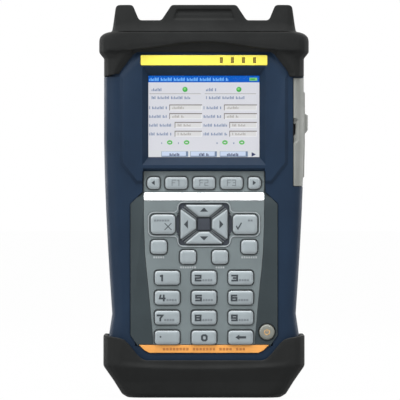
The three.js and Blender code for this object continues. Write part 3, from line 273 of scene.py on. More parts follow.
# %% Group: settled dust
group, given = new_group("settled_dust", {"Scale": 160.0}, {"Mask": FLOAT})
normal = add_node(group, "NewGeometry").outputs["Normal"]
height = add_node(group, "SeparateXYZ", {0: normal}).outputs["Z"]
upward = spread(group, height, 0.55, 1.0, 0.0, 1.0)
thinned = spread(group, noise(group, given["Scale"], 5.0), 0.3, 0.7, 0.2, 1.0)
DUST = close_group(group, Mask=maths(group, "MULTIPLY", upward, thinned))
print("node groups:", len(bpy.data.node_groups))

# %% [markdown]
# ## Finishes
# The tester wears about a dozen plastics. Their colours were read from the photo, as the
# everyday 0 to 255 numbers, and `srgb` turns those into the linear values that a shader wants.
# Dark plastics look washed out under a white sky, so their specular level is kept low.

# %% Material helpers
FINISH = {}
DUST_COLOUR = (150, 148, 142)


def srgb(red, green, blue):
    def linear(value):
        share = value / 255
        return share / 12.92 if share <= 0.04045 else ((share + 0.055) / 1.055) ** 2.4
    return (linear(red), linear(green), linear(blue), 1.0)


def toned(colour, factor):
    return tuple(min(1.0, part * factor) for part in colour[:3]) + (1.0,)


def place_group(tree, group, **values):
    return add_node(tree, "Group", values, node_tree=group).outputs


def blend(tree, amount, first, second):
    """A colour mix; first and second are colours or sockets."""
    made = add_node(tree, "Mix", {"Factor": amount}, data_type="RGBA")
    for label, value in (("A", first), ("B", second)):
        feed(tree, [s for s in made.inputs if s.name == label and s.type == "RGBA"][0], value)
    return [s for s in made.outputs if s.type == "RGBA"][0]


def new_material(name, values):
    """A material with plain values on its shader; what varies over the surface is fed in later."""
    FINISH[name] = bpy.data.materials.new(name)
    tree = new_tree(FINISH[name])
    shader = add_node(tree, "BsdfPrincipled", values)
    add_node(tree, "OutputMaterial", {"Surface": shader.outputs[0]})
    return tree, shader.inputs


def moulded(name, colour, roughness, grain=2600.0, height=0.00002, specular=0.35,
            edge=None, edge_share=0.5, edge_radius=0.0004, dust=0.0, coat=0.0):
    """A moulded piece: clouded colour and sheen, paler edges for wear and as a painted highlight,
    dust and a fine grain.
    """
    colour = srgb(*colour)
    tree, shader = new_material(name, {"Specular IOR Level": specular, "Coat Weight": coat})
    cloudy = place_group(tree, CLOUDS, Scale=45.0)["Mask"]
    look = blend(tree, cloudy, toned(colour, 0.92), toned(colour, 1.06))
    worn_and_highlit = place_group(tree, WORN_AND_HIGHLIT, Radius=edge_radius)
    # Edges are blended towards a paler colour: partly wear, partly a painted highlight.
    pale = srgb(*edge) if edge else toned(colour, 1.6)
    look = blend(tree, maths(tree, "MULTIPLY", worn_and_highlit["Mask"], edge_share), look, pale)
    if dust:
        settled = maths(tree, "MULTIPLY", place_group(tree, DUST)["Mask"], dust)
        look = blend(tree, settled, look, srgb(*DUST_COLOUR))
    feed(tree, shader["Base Color"], look)
    feed(tree, shader["Roughness"],
         spread(tree, cloudy, 0.0, 1.0, roughness + 0.05, roughness - 0.05))
    pebbles = place_group(tree, GRAIN, Scale=grain)["Height"]
    relief = {"Distance": height, "Height": pebbles, "Normal": worn_and_highlit["Normal"]}
    feed(tree, shader["Normal"], add_node(tree, "Bump", relief).outputs[0])


# %% Plastics and rubbers
moulded("case_blue", (25, 40, 58), 0.5, specular=0.12, edge=(62, 80, 106), dust=0.05)
moulded("boot_rubber", (31, 32, 32), 0.72, grain=1500.0, height=0.00005, specular=0.1,
        edge=(64, 66, 66), edge_share=0.35, edge_radius=0.0007, dust=0.08)
moulded("yellow_plastic", (226, 213, 84), 0.42, edge=(255, 250, 160))
moulded("orange_plastic", (216, 149, 74), 0.45, edge=(255, 205, 130))
moulded("light_grey_plastic", (102, 111, 113), 0.45, specular=0.25, edge=(170, 176, 178))
moulded("dark_grey_plastic", (49, 57, 60), 0.5, specular=0.15, edge=(104, 110, 112))
moulded("channel_grey", (58, 62, 69), 0.5, specular=0.15, edge=(110, 116, 120), edge_share=0.6)
moulded("door_grey_plastic", (126, 128, 124), 0.5, specular=0.25, edge=(172, 173, 166),
        edge_share=0.4)
moulded("black_plastic", (24, 25, 27), 0.5, specular=0.15, edge=(60, 62, 64))
moulded("key_grey", (135, 144, 148), 0.33, grain=3400.0, height=0.00001, specular=0.5,
        edge=(186, 194, 198), edge_radius=0.0005, coat=0.25)
moulded("power_grey", (114, 116, 109), 0.38, edge=(186, 186, 182), coat=0.15)
moulded("silicone", (120, 126, 130), 0.62, edge=(140, 146, 150))
moulded("board_green", (24, 84, 54), 0.35, grain=900.0, edge=(150, 140, 80))
NO_PALE_EDGE = {  # colour and roughness of what has no paler edge: prints, the rims and ribs of the cross, whose paler grey is a painted highlight, and the sides of the keys, whose darker grey is painted shade
    "key_side": ((84, 91, 96), 0.5), "rim_grey": ((150, 157, 160), 0.42),
    "legend_dark": ((44, 50, 55), 0.5), "legend_pale": ((104, 111, 116), 0.5),
    "legend_white": ((156, 162, 164), 0.5), "legend_orange": ((186, 148, 98), 0.5),
    "accent_brown": ((170, 108, 52), 0.5), "pipe_brown": ((132, 112, 48), 0.3),
}
for name, (colour, roughness) in NO_PALE_EDGE.items():
    moulded(name, colour, roughness, edge_share=0.0)
print("plastics:", len(FINISH))

# %% [markdown]
# Steel, the silver trim and the display window are not moulded, so each is its own short recipe.
# Brushed steel is streaked along one direction. The trim is bright foil: nearly a mirror, and
# since it slopes towards the sky it shows the white above. The window is clear plastic over the
# display, which is only a coat of gloss on what lies under it.

# %% Metals and clear plastics
def metal(name, colour, roughness, streak=(60.0, 900.0, 900.0)):
    colour = srgb(*colour)
    tree, shader = new_material(name, {"Metallic": 1.0})
    stretch = add_node(tree, "Mapping", {"Scale": streak, "Vector": in_place(tree)}).outputs[0]
    marks = add_node(tree, "TexNoise", {"Scale": 6.0, "Vector": stretch}).outputs["Fac"]
    feed(tree, shader["Base Color"], blend(tree, marks, toned(colour, 0.9), toned(colour, 1.1)))
    feed(tree, shader["Roughness"],
         spread(tree, marks, 0.2, 0.8, roughness - 0.08, roughness + 0.08))
    feed(tree, shader["Normal"], place_group(tree, WORN_AND_HIGHLIT, Radius=0.0003)["Normal"])


def clear(name, tint, roughness):
    """Clear plastic that lets light through to what it covers, with a gloss on top."""
    tree, shader = new_material(name, {"Base Color": tint, "Transmission Weight": 1.0, "IOR": 1.08,
                                       "Specular IOR Level": 0.4})
    smears = place_group(tree, CLOUDS, Scale=30.0)["Mask"]
    feed(tree, shader["Roughness"], spread(tree, smears, 0.0, 1.0, roughness, roughness + 0.04))


metal("steel", (176, 178, 181), 0.34)
metal("contact_gold", (226, 184, 96), 0.25)
metal("silver_trim", (240, 243, 245), 0.30, (30.0, 400.0, 400.0))
clear("window", WHITE, 0.0)
clear("clear_plastic", srgb(236, 228, 196), 0.25)

# %% [markdown]
# A lit display is its own light, so its colours are emission, at a strength of one: the display
# then shows its colours as written, and a bright studio doesn't wash it out. A very fine raster
# of cells keeps the flat colours from looking printed.

# %% Lit colours of the display
def lit(name, colour):
    colour = srgb(*colour)
    tree, shader = new_material("lit_" + name, {"Base Color": toned(colour, 0.05), "Roughness": 0.4,
                                                "Specular IOR Level": 0.1, "Emission Strength": 1.0})
    inputs = {"Scale": 4200.0, "Randomness": 0.0, "Vector": in_place(tree)}
    cells = add_node(tree, "TexVoronoi", inputs, distance="CHEBYCHEV")
    raster = spread(tree, cells.outputs["Distance"], 0.0, 0.5, 1.0, 0.0)
    feed(tree, shader["Emission Color"], blend(tree, raster, toned(colour, 0.97), colour))


LIT = {
    "ground": (212, 213, 220), "header": (4, 92, 196), "header_text": (118, 186, 248),
    "green": (70, 172, 78), "pale_green": (128, 206, 120), "field": (213, 213, 214),
    "field_shade": (118, 112, 108), "field_edge": (228, 229, 232), "ink": (124, 140, 170),
    "value": (168, 164, 162), "button": (112, 132, 160), "button_light": (198, 212, 233),
    "button_ink": (52, 60, 96), "corner": (211, 215, 218),
}
for name, colour in LIT.items():
    lit(name, colour)
FINISH["screen"] = FINISH["lit_ground"]
print("finishes:", len(FINISH), "of which lit:", len(LIT))

# %% [markdown]
# Every part of the frame first takes the finish of its slot in the record. Parts that get a
# finer piece later pass their finish on to it.

# %% Finish for each frame part
SLOT = {part["node"]: part["material_slot"] for part in frame["record"]["subparts"]}


def dress(thing, finish):
    thing.data.materials.clear()
    thing.data.materials.append(FINISH[finish])


def soften(piece, sharp=35):
    """Smooth shading, kept off edges that are sharper than an angle in degrees."""
    for face in piece.data.polygons:
        face.use_smooth = True
    piece.data.set_sharp_from_angle(angle=math.radians(sharp))


for name, node in frame["nodes"].items():
    dress(node, SLOT[name])
    soften(node, 32)
dress(frame["nodes"]["dpad_frame"], "channel_grey")
dress(frame["nodes"]["lcd_module"], "black_plastic")
dress(frame["nodes"]["light_pipe"], "pipe_brown")
print("frame parts dressed:", len(SLOT))

# %% [markdown]
# ## Shapes from outlines
# Almost everything on the tester was drawn from the front by its designer: an outline, a depth
# and a soft edge. So the pieces below are made the same way. An outline is a list of (x, z)
# points in millimetres, counter-clockwise. A tower of outlines at growing depths becomes a solid.

# %% Outlines
def rectangle(half, low, high, middle=0.0):
    left, right = middle - half, middle + half
    return [(left, low), (right, low), (right, high), (left, high)]


def centred(width, height, x=0.0, z=0.0):
    return rectangle(width / 2, z - height / 2, z + height / 2, x)


def mirrored(right):
    return right + [(-x, z) for x, z in reversed(right)]


def shifted(outline, x, z):
    return [(px + x, pz + z) for px, pz in outline]


def toward(a, b):
    length = math.dist(a, b)
    return ((b[0] - a[0]) / length, (b[1] - a[1]) / length)


def grow(outline, distance):
    """Moves every edge of an outline outwards by a distance."""
    grown = []
    for i, point in enumerate(outline):
        ux, uz = toward(outline[i - 1], point)
        vx, vz = toward(point, outline[(i + 1) % len(outline)])
        share = distance / (1 + ux * vx + uz * vz)
        grown.append((point[0] + share * (uz + vz), point[1] - share * (ux + vx)))
    return grown


def rounded(outline, radii, steps=6):
    """Replaces every corner by an arc; several radii are taken in turn."""
    radii = radii if isinstance(radii, (list, tuple)) else [radii]
    points = []
    for i, point in enumerate(outline):
        radius = radii[i % len(radii)]
        ax, az = toward(point, outline[i - 1])
        bx, bz = toward(point, outline[(i + 1) % len(outline)])
        half = math.acos(max(-1.0, min(1.0, ax * bx + az * bz))) / 2
        turn = 1 if az * bx - ax * bz >= 0 else -1
        mx, mz = toward((0, 0), (ax + bx, az + bz))
        reach = radius / math.sin(half)
        middle = math.atan2(-mz, -mx)
        for k in range(steps + 1):
            angle = middle + turn * (math.pi / 2 - half) * (2 * k / steps - 1)
            points.append((point[0] + mx * reach + radius * math.cos(angle),
                           point[1] + mz * reach + radius * math.sin(angle)))
    return points


def circle(radius, x=0.0, z=0.0, steps=48):
    angles = [2 * math.pi * i / steps for i in range(steps)]
    return [(x + radius * math.cos(a), z + radius * math.sin(a)) for a in angles]


# %% [markdown]
# A mesh can be filled from plain lists, and `bmesh` then merges doubled points and turns all
# faces outwards. Smooth shading is kept off edges sharper than 35 degrees.

# %% Meshes
DOUBLES = 0.000002  # points this close, in metres, are one


def clean(mesh, outwards):
    work = bmesh.new()
    work.from_mesh(mesh)
    bmesh.ops.remove_doubles(work, verts=work.verts, dist=DOUBLES)
    if outwards:
        bmesh.ops.recalc_face_normals(work, faces=work.faces)
    work.to_mesh(mesh)
    work.free()


def filled(name, points, faces):
    mesh = bpy.data.meshes.new(name)
    mesh.from_pydata([(x * MM, y * MM, z * MM) for x, y, z in points], [], faces)
    return mesh


def show(name, mesh, finish, body):
    """Puts a mesh in the scene, as a piece that rides on a body."""
    piece = link(bpy.data.objects.new(name, mesh))
    dress(piece, finish)
    if body:
        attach(piece, body)
    return piece


def new_piece(name, points, faces, finish, body="case", slot=None):
    mesh = filled(name, points, faces)
    clean(mesh, True)
    piece = show(name, mesh, finish, body)
    soften(piece)
    return piece


def stand_in(piece, *nodes):
    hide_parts(*nodes)
    return piece


# %% Solids
def tower(rings, closed=False):
    """A solid through rings of equal length; a closed one returns to its first ring."""
    count = len(rings[0])
    points = [point for ring in rings for point in ring]
    faces = [] if closed else [tuple(range(count)), tuple(range(len(points) - count, len(points)))]
    for r in range(len(rings) if closed else len(rings) - 1):
        s = (r + 1) % len(rings)
        for i in range(count):
            j = (i + 1) % count
            faces.append((r * count + i, r * count + j, s * count + j, s * count + i))
    return points, faces


def face_tower(stages, closed=False):
    """A solid through (outline, depth) stages."""
    return tower([[(x, y, z) for x, z in outline] for outline, y in stages], closed)


def prism(outline, *depths):
    return face_tower([(outline, y) for y in depths])


def column(plan, *heights):
    """An (x, y) plan as an upright solid."""
    return tower([[(x, y, z) for x, y in plan] for z in heights])


def sideways(profile, half):
    """A (y, z) profile as a solid from -half to half across."""
    return tower([[(x, y, z) for y, z in profile] for x in (-half, half)])


def turned_edge(outline, front, rear, edge, way, steps=3):
    """Stages up to a front edge that is rounded over (way -1) or flares out (way 1)."""
    stages = [(outline, rear), (outline, front + edge)]
    for k in range(1, steps + 1):
        angle = math.pi / 2 * k / steps
        swell = way * edge * (1 - math.cos(angle))
        stages.append((grow(outline, swell), front + edge * (1 - math.sin(angle))))
    return stages


def slab(outline, front, rear, edge=0.3, steps=3):
    """An outline as a plate whose front edge is rounded."""
    return face_tower(turned_edge(outline, front, rear, edge, -1, steps))


def merged(parts):
    """Several (points, faces) lists as one."""
    points, faces = [], []
    for more_points, more_faces in parts:
        start = len(points)
        points += more_points
        faces += [tuple(i + start for i in face) for face in more_faces]
    return points, faces


# %% [markdown]
# A hole is cut with a Boolean. Its cutter flares out at the mouth, so that the edge of the hole
# comes out rounded, as an injection mould leaves it.

# %% Cutting
def mouth(outline, front, deep, flare):
    """A cutter from a depth up to a face, with a rounded lip at that face."""
    stages = turned_edge(outline, front, deep, flare, 1)
    return face_tower(stages + [(grow(outline, flare), front - 1)])


def settle(piece):
    """Applies all modifiers of a piece."""
    graph = bpy.context.evaluated_depsgraph_get()
    mesh = bpy.data.meshes.new_from_object(piece.evaluated_get(graph))
    piece.modifiers.clear()
    piece.data = mesh


def carve(piece, shape, operation="DIFFERENCE"):
    """Cuts (points, faces) out of a piece, or adds or keeps them, in the piece's own finish."""
    tool = new_piece("tool", *shape, "steel", body=None)
    tool.data.materials[0] = piece.data.materials[0]
    step = piece.modifiers.new("carve", "BOOLEAN")
    step.operation = operation
    step.solver = "MANIFOLD"
    step.object = tool
    settle(piece)
    bpy.data.objects.remove(tool)
    return piece


# %% [markdown]
# ## Keys
# The keys are hard plastic caps: a soft upper edge, a slightly domed face and a flange behind
# the panel that keeps them in. A key is a tower of rings: up the flange, up the side, round the
# edge and then inwards over the dome. Its own node's box says where it goes.

# %% Sizes of the keypad
PAD_DEPTH, FUNCTION_DEPTH = 24.8, 22.0  # how far the two levels stand in front of the centre plane
KEY_PROUD, KEY_DROP = 1.8, 0.8  # how far a key stands out, and how far its dome falls
KEY_REAR = 3.4  # from the front of the panel back to the flange
FLANGE = 0.9
PAD_CENTRE = 108.7
CAP_DROP = 0.2  # the number keys hang this low in their openings
ARROW_SHAPES = ((4.7, 3.2, 12.2, 12.4), (5.0, 2.7, 14.7, 9.7))  # root and reach, with half widths


def trapezium(root, root_half, reach, half):
    return [(-root_half, root), (root_half, root), (half, reach), (-half, reach)]


def turned(outline, quarter):
    """An outline turned about its origin by quarters of a turn, clockwise."""
    for _ in range(quarter % 4):
        outline = [(z, -x) for x, z in outline]
    return outline


ARROWS = ("key_up", "key_right", "key_down", "key_left")  # each a quarter turn further
NUMBER_KEYS = ["key_" + word for word in ("dot", "0", "back", *"123456789")]
COMMAND, PAGE = centred(15.3, 12.2), centred(7.8, 7.5)
POWER_RADIUS = 4.7
# each cap's outline and its corner radius, or radii
CAPS = {name: (turned(trapezium(*ARROW_SHAPES[i % 2]), i), 0.6) for i, name in enumerate(ARROWS)}
CAPS.update({
    "key_cancel": (COMMAND, 2.6), "key_ok": (COMMAND, 2.6),
    "key_page_left": (PAGE, [3.0, 1.5, 1.5, 3.0]), "key_page_right": (PAGE, [1.5, 3.0, 3.0, 1.5]),
    "power_button": (circle(POWER_RADIUS), 0),
})
CAPS.update({f"key_f{i}": (centred(13.8, 7.5), 2.0) for i in (1, 2, 3)})
CAPS.update({f"key_aux_{i}": (centred(10.0, 8.6), 2.2) for i in (1, 2, 3, 4)})
CAPS.update({name: (centred(15.5, 8.6), 1.9) for name in NUMBER_KEYS})


def cap_outline(outline, corner, swell):
    if not corner:
        return grow(outline, swell)
    radii = [max(0.25, r + swell) for r in (corner if isinstance(corner, list) else [corner])]
    return rounded(grow(outline, swell), radii)


def key_middle(name):
    """Where a key's own outline has its origin, and the front of the panel round it."""
    low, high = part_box(name)
    x, z = (low.x + high.x) / 2 / MM, (low.z + high.z) / 2 / MM
    if name in ARROWS:
        x, z = 0.0, PAD_CENTRE
    return x, z, -low.y / MM - KEY_PROUD


# %% Make the caps
for name, (outline, corner) in CAPS.items():
    x, z, depth = key_middle(name)
    z -= CAP_DROP if name in NUMBER_KEYS else 0
    rear = -depth + KEY_REAR
    rings = [(FLANGE, rear + 1), (FLANGE, rear), (0, rear)]
    reach = 1.8 if name in ARROWS else 2.5  # the dome falls away towards its edge over this
    rings += [(-reach * share, -depth - KEY_PROUD + KEY_DROP * (1 - share) ** 2.4)
              for share in (0.0, 0.05, 0.12, 0.22, 0.36, 0.52, 0.7, 1.0)]
    stages = [(shifted(cap_outline(outline, corner, swell), x, z), y) for swell, y in rings]
    finish = "power_grey" if name == "power_button" else "key_grey"
    cap = stand_in(new_piece(name + "_cap", *face_tower(stages), finish, body=name), name)
    # The upright sides of each cap take a darker grey of the same plastic: painted shade.
    cap.data.materials.append(FINISH["key_side"])
    for face in cap.data.polygons:
        face.material_index = 1 if abs(face.normal.y) < 0.3 else 0
print("caps:", len(CAPS))

# %% [markdown]
# ## Legends
# Numbers and signs are printed on the caps. Each is a few strokes on a small grid, laid on the
# face of the cap and a hair thicker than paint. Where the real panel has words, a row of small
# blocks of the same size stands for them.

# %% Strokes
def stroke(points, width, butts=(False, False)):
    """A bent line as quads that meet at mitred corners, so that none lies over another.

    An open end is square and reaches half a width past its point. One that butts against
    another stroke stops as far short of it.
    """
    closed = points[0] == points[-1]
    line = points[:-1] if closed else points
    sides = []
    for i, point in enumerate(line):
        first, last = i == 0 and not closed, i == len(line) - 1 and not closed
        after = toward(point, line[(i + 1) % len(line)]) if not last else toward(line[i - 1], point)
        before = toward(line[i - 1], point) if not first else after
        share = width / 2 / (1 + before[0] * after[0] + before[1] * after[1])
        across = (-share * (before[1] + after[1]), share * (before[0] + after[0]))
        reach = width / 2 * (last * (1 - 2 * butts[1]) - first * (1 - 2 * butts[0]))
        x, z = point[0] + reach * after[0], point[1] + reach * after[1]
        sides.append(((x - across[0], z - across[1]), (x + across[0], z + across[1])))
    pairs = zip(sides, sides[1:] + sides[:1]) if closed else zip(sides, sides[1:])
    return [[a[0], b[0], b[1], a[1]] for a, b in pairs]


GLYPHS = {  # lines on a grid from 0 to 1 both ways
    "0": [[(0.25, 0), (0.75, 0), (1, 0.2), (1, 0.8), (0.75, 1), (0.25, 1), (0, 0.8), (0, 0.2),
           (0.25, 0)]],
    "1": [[(0.2, 0.92), (0.55, 0.92)], [(0.55, 1), (0.55, 0)]],
    "2": [[(0, 1), (1, 1), (1, 0.52), (0, 0.48), (0, 0), (1, 0)]],
    "3": [[(0, 1), (1, 1), (1, 0), (0, 0)], [(0.3, 0.5), (1, 0.5)]],
    "4": [[(0.15, 1), (0, 0.4), (0.8, 0.4)], [(1, 0.4), (0.8, 0.4)], [(0.8, 1), (0.8, 0)]],
    "5": [[(1, 1), (0, 1), (0, 0.53), (1, 0.53), (1, 0), (0, 0)]],
    "6": [[(0.95, 1), (0, 1), (0, 0), (1, 0), (1, 0.53), (0, 0.53)]],
    "7": [[(0, 1), (1, 1), (0.55, 0.4), (0.55, 0)]],
    "8": [[(0, 0), (1, 0), (1, 1), (0, 1), (0, 0)], [(0, 0.52), (1, 0.52)]],
    "9": [[(0.05, 0), (1, 0), (1, 1), (0, 1), (0, 0.48), (1, 0.48)]],
    "F": [[(1, 1), (0, 1), (0, 0)], [(0, 0.5), (0.8, 0.5)]],
    "cross": [[(0, 0), (1, 1)], [(0, 1), (0.5, 0.5)], [(1, 0), (0.5, 0.5)]],
    "tick": [[(0, 0.45), (0.3, 0), (1, 1)]],
}


def glyph(name, width, height, x, z, weight):
    """A sign centred at x, z."""
    left, foot = x - width / 2, z - height / 2
    lines = [[(left + px * width, foot + pz * height) for px, pz in line] for line in GLYPHS[name]]
    segments = [pair for line in lines for pair in zip(line, line[1:])]

    def lands(end, own):
        """Whether an end lies on another stroke, which it then only meets."""
        return any(abs(math.dist(a, end) + math.dist(end, b) - math.dist(a, b)) < 0.0001
                   for a, b in segments if (a, b) != own)

    quads = []
    for line in lines:
        butts = (lands(line[0], (line[0], line[1])), lands(line[-1], (line[-2], line[-1])))
        quads += stroke(line, weight, butts)
    return quads


def arrow_head(half, height, quarter, x, z):
    triangle = [(-half, -height / 2), (half, -height / 2), (0, height / 2)]
    return [shifted(turned(triangle, quarter), x, z)]


def dashes(count, x, z, width, height, pitch=1.65):
    return [centred(width, height, x + i * pitch, z) for i in range(count)]


# %% [markdown]
# Print could be a mask in the cap's material. As thin solids it stays sharp at any distance,
# moves with its key, and can be taken out on its own.

# %% Print the keys
LEGEND_THICKNESS = 0.05
HEAVY, THIN = 1.12, 0.5


def print_on(name, polygons, face, finish, slot, body="case", deep=LEGEND_THICKNESS):
    """Lays flat polygons on a face; they reach `deep` into it."""
    parts = [prism(p, face + deep, face - LEGEND_THICKNESS) for p in polygons]
    return new_piece(name, *merged(parts), finish, body, slot)


def legend(name, polygons, finish="legend_dark"):
    x, z, depth = key_middle(name)
    placed = [shifted(polygon, x, z) for polygon in polygons]
    print_on(f"{name}_{finish}", placed, -(depth + KEY_PROUD), finish, SLOT[name], name, 0.3)


DIGIT_X = (-3.3, -3.7, -3.8, -3.1, -3.4, -4.2, -4.5, -3.7, -4.0)
for digit, x in zip("123456789", DIGIT_X):
    legend("key_" + digit, glyph(digit, 2.4 if digit == "1" else 3.1, 3.1, x, -0.3, HEAVY))
    if digit != "1":
        legend("key_" + digit, dashes(4, x + 3.3, -1.6, 1.3, 1.35), "legend_pale")
legend("key_0", glyph("0", 2.9, 3.2, 0.2, -0.3, HEAVY + 0.1))
legend("key_dot", [circle(0.55, -4.2, 0.3, 16)])
legend("key_back", [centred(4.15, 1.4, 1.225, 0)] + arrow_head(1.7, 2.5, 3, -2.1, 0))
for number in "123":
    both = glyph("F", 2.1, 3.4, -1.6, 0.2, THIN) + glyph(number, 2.0, 3.4, 1.5, 0.2, THIN)
    legend("key_f" + number, both, "legend_pale")
HEADS = {  # half width, height, quarters turned, place
    "key_page_left": (1.5, 2.1, 3, -0.2, 0.2), "key_page_right": (1.5, 2.1, 1, -0.1, 0.2),
    "key_up": (2.6, 2.6, 0, 0, 9.2), "key_down": (2.6, 2.6, 2, 0, -8.8),
    "key_left": (2.7, 2.5, 3, -11.3, 0), "key_right": (2.7, 2.5, 1, 10.9, 0),
}
for name, head in HEADS.items():
    legend(name, arrow_head(*head))
legend("key_cancel", glyph("cross", 3.9, 3.9, 3.2, -1.4, THIN))
legend("key_cancel", dashes(6, -4.9, 2.4, 1.3, 1.2), "legend_pale")
legend("key_ok", glyph("tick", 2.9, 3.6, -3.9, -1.1, 0.75))
legend("key_ok", dashes(2, 2.4, 2.4, 1.3, 1.2), "legend_pale")

# %% [markdown]
# The power button carries the usual sign: a broken ring with a stroke through its gap.

# %% Power sign
SIGN_RADII = (1.6 - 0.35, 1.6 + 0.35)
ARC_START, ARC_TURN, ARC_STEPS = 125, 290, 20  # in degrees; the rest is the gap
angles = [math.radians(ARC_START + ARC_TURN * i / ARC_STEPS) for i in range(ARC_STEPS + 1)]
inner, outer = ([(r * math.cos(a), r * math.sin(a)) for a in angles] for r in SIGN_RADII)
arc = [[inner[i], outer[i], outer[i + 1], inner[i + 1]] for i in range(ARC_STEPS)]
legend("power_button", arc + [centred(0.6, 1.7, 0, 1.1)], "legend_orange")

# %% [markdown]
# ## The keypad panel
# One light plate carries all keys. Seen from the side it is not flat: the function keys lie
# almost three millimetres deeper than the others, and a slope joins the two levels. So the plate
# is a side profile drawn sideways, cut to its outline, and only then pierced for the keys.

# %% Light plate
SLOPE = (123.3, 128.9)
PANEL_FOOT, PANEL_HEAD = 30, 145
APERTURE = 0.65  # the gap round a key
FRAME_RIM = 0.9
AHEAD, INSIDE = -30, -15  # cuts through the panel run between these depths


def panel_profile(deep, bed):
    """The stepped section of the panel; `bed` sinks its slope for the silver strip."""
    low, high = SLOPE
    front = [(-PAD_DEPTH, PANEL_FOOT), (-PAD_DEPTH, low), (bed - PAD_DEPTH, low),
             (bed - FUNCTION_DEPTH, high), (-FUNCTION_DEPTH, high), (-FUNCTION_DEPTH, PANEL_HEAD)]
    back = [(y + deep, z) for y, z in (front[5], front[4], front[1], front[0])]
    return front + back


def panel_piece(name, finish, outline, deep, bed):
    piece = new_piece(name, *sideways(panel_profile(deep, bed), 50), finish)
    return carve(piece, prism(outline, AHEAD, INSIDE), "INTERSECT")


def cross_outline(swell, reach=34.3, half=6.9, corner=3.1):
    """The keypad cross: a tall middle with two wings."""
    wide, tall = 15.9, 13.3
    right = [(wide, -tall), (wide, -half), (reach, -half),
             (reach, half), (wide, half), (wide, tall)]
    turns = [corner + swell, max(0.3, corner - swell), corner + swell] * 2
    return shifted(rounded(grow(mirrored(right), swell), turns + turns[::-1]), 0, PAD_CENTRE)


def opening(name, swell=APERTURE):
    x, z, _ = key_middle(name)
    return shifted(cap_outline(*CAPS[name], swell), x, z)


PLATE_EDGE = [(31.5, 33.5), (33.2, 52.7), (34.8, 70), (36.1, 82), (36.9, 92), (37.35, 104),
              (37.6, 118), (37.8, 141.9)]
plate = panel_piece("keypad_plate_face", "light_grey_plastic", mirrored(PLATE_EDGE), 1.2, 0.7)
for name in CAPS:
    if name not in (*ARROWS, "key_cancel", "key_ok", "power_button"):
        carve(plate, mouth(opening(name), -key_middle(name)[2], INSIDE, 0.3))
carve(plate, prism(cross_outline(FRAME_RIM + 0.2), AHEAD, INSIDE))
soften(plate)
stand_in(plate, "keypad_plate")
print("plate faces:", len(plate.data.polygons))

# %% [markdown]
# A darker frame runs round the light plate. It is made like the plate, from the same side
# profile, but only a ring of it is left. The orange strip lies in a cut-out at its foot, and
# stands for a printed line with rows of small blocks.

# %% Dark frame of the panel
ACCENT = mirrored([(34.2, 28.0), (37.4, 29.6), (41.4, 33.5)])
PANEL = mirrored([(41.4, 32.6), (46, 39.4), (46, 121.4), (38.2, 128.9), (38.2, 141.4)])
LETTER_PITCH = 2.08
surround = panel_piece("keypad_surround_face", "dark_grey_plastic", PANEL, 5.9, 0.0)
pocket = grow(mirrored([(31.5, 31.0)] + PLATE_EDGE[:-1] + [(37.8, 150)]), 0.2)
carve(surround, prism(pocket, AHEAD, INSIDE))
carve(surround, prism(ACCENT, AHEAD, -22.6))
x, z, _ = key_middle("power_button")
carve(surround, mouth(circle(POWER_RADIUS + APERTURE, x, z), -PAD_DEPTH, INSIDE, 0.35))
soften(surround)
stand_in(surround, "keypad_surround")
accent_bars, word_left = [], -26.0
for letters in (8, 7, 4, 3):
    accent_bars += dashes(letters, word_left + 1.0, 30.6, 1.45, 1.6, LETTER_PITCH)
    word_left += (letters + 1) * LETTER_PITCH
print_on("accent_print", accent_bars, -PAD_DEPTH, "accent_brown", "orange_plastic")
print("surround faces:", len(surround.data.polygons))

# %% [markdown]
# The cross in the middle has a light frame with a rounded rim; the rim is a paler grey that paints
# the highlight along it. Its two wings are filled by the frame; the middle is a dark well with the
# four arrow keys, thin ribs along their slanting sides, also in the paler grey of a painted
# highlight, and a low square hub where they meet.

# %% Frame of the arrow keys
RIM_FACE = -25.3
FRAME_FACE = RIM_FACE + 0.3
WELL = (17.5, 6.2, 2.2)  # reach and half height of its wings, and its corners
FRAME_SLOT = SLOT["dpad_frame"]


def rim_ring(outer, inner, front, rear, edge=0.2):
    """A closed frame between two outlines of equal length, its front edges rounded."""
    outside = turned_edge(outer, front, rear, edge, -1)
    inside = turned_edge(inner, front, rear, edge, 1)
    return face_tower(inside[:1] + outside + inside[:0:-1], closed=True)


frame_face = new_piece("dpad_frame_face", *slab(cross_outline(FRAME_RIM), FRAME_FACE, -23.6, 0.25),
                       "light_grey_plastic", slot=FRAME_SLOT)
carve(frame_face, mouth(cross_outline(-0.1, *WELL), FRAME_FACE, -20, 0.2))
for name in ("key_cancel", "key_ok"):
    carve(frame_face, mouth(opening(name), FRAME_FACE, -20, 0.3))
rim = rim_ring(cross_outline(FRAME_RIM), cross_outline(FRAME_RIM - 0.6), RIM_FACE, -24.6)
# The rim's paler grey is a painted highlight along its rounded edge.
new_piece("dpad_rim", *rim, "rim_grey", slot=FRAME_SLOT)
well_floor = new_piece("dpad_well", *prism(cross_outline(0.2, *WELL), -23.7, -24.1), "channel_grey",
                       slot=FRAME_SLOT)
for piece, swell in ((frame_face, APERTURE + 0.1), (well_floor, APERTURE)):
    for name in ("key_up", "key_down", "key_left", "key_right"):
        carve(piece, prism(opening(name, swell), AHEAD, -20))
    soften(piece)
stand_in(frame_face, "dpad_frame")
ribs = []
for quarter in range(4):
    root, root_half, reach, half = ARROW_SHAPES[quarter % 2]
    for side in (-1, 1):
        dx, dz = toward((side * root_half, root), (side * half, reach))
        nx, nz = side * dz * 0.85, -side * dx * 0.85
        ends = [(side * root_half + nx + dx * 0.6, root + nz + dz * 0.6),
                (side * half + nx - dx * 0.9, reach + nz - dz * 0.9)]
        line = shifted(turned(ends, quarter), 0, PAD_CENTRE)
        ribs += [prism(quad, -23.9, -24.9) for quad in stroke(line, 0.3)]
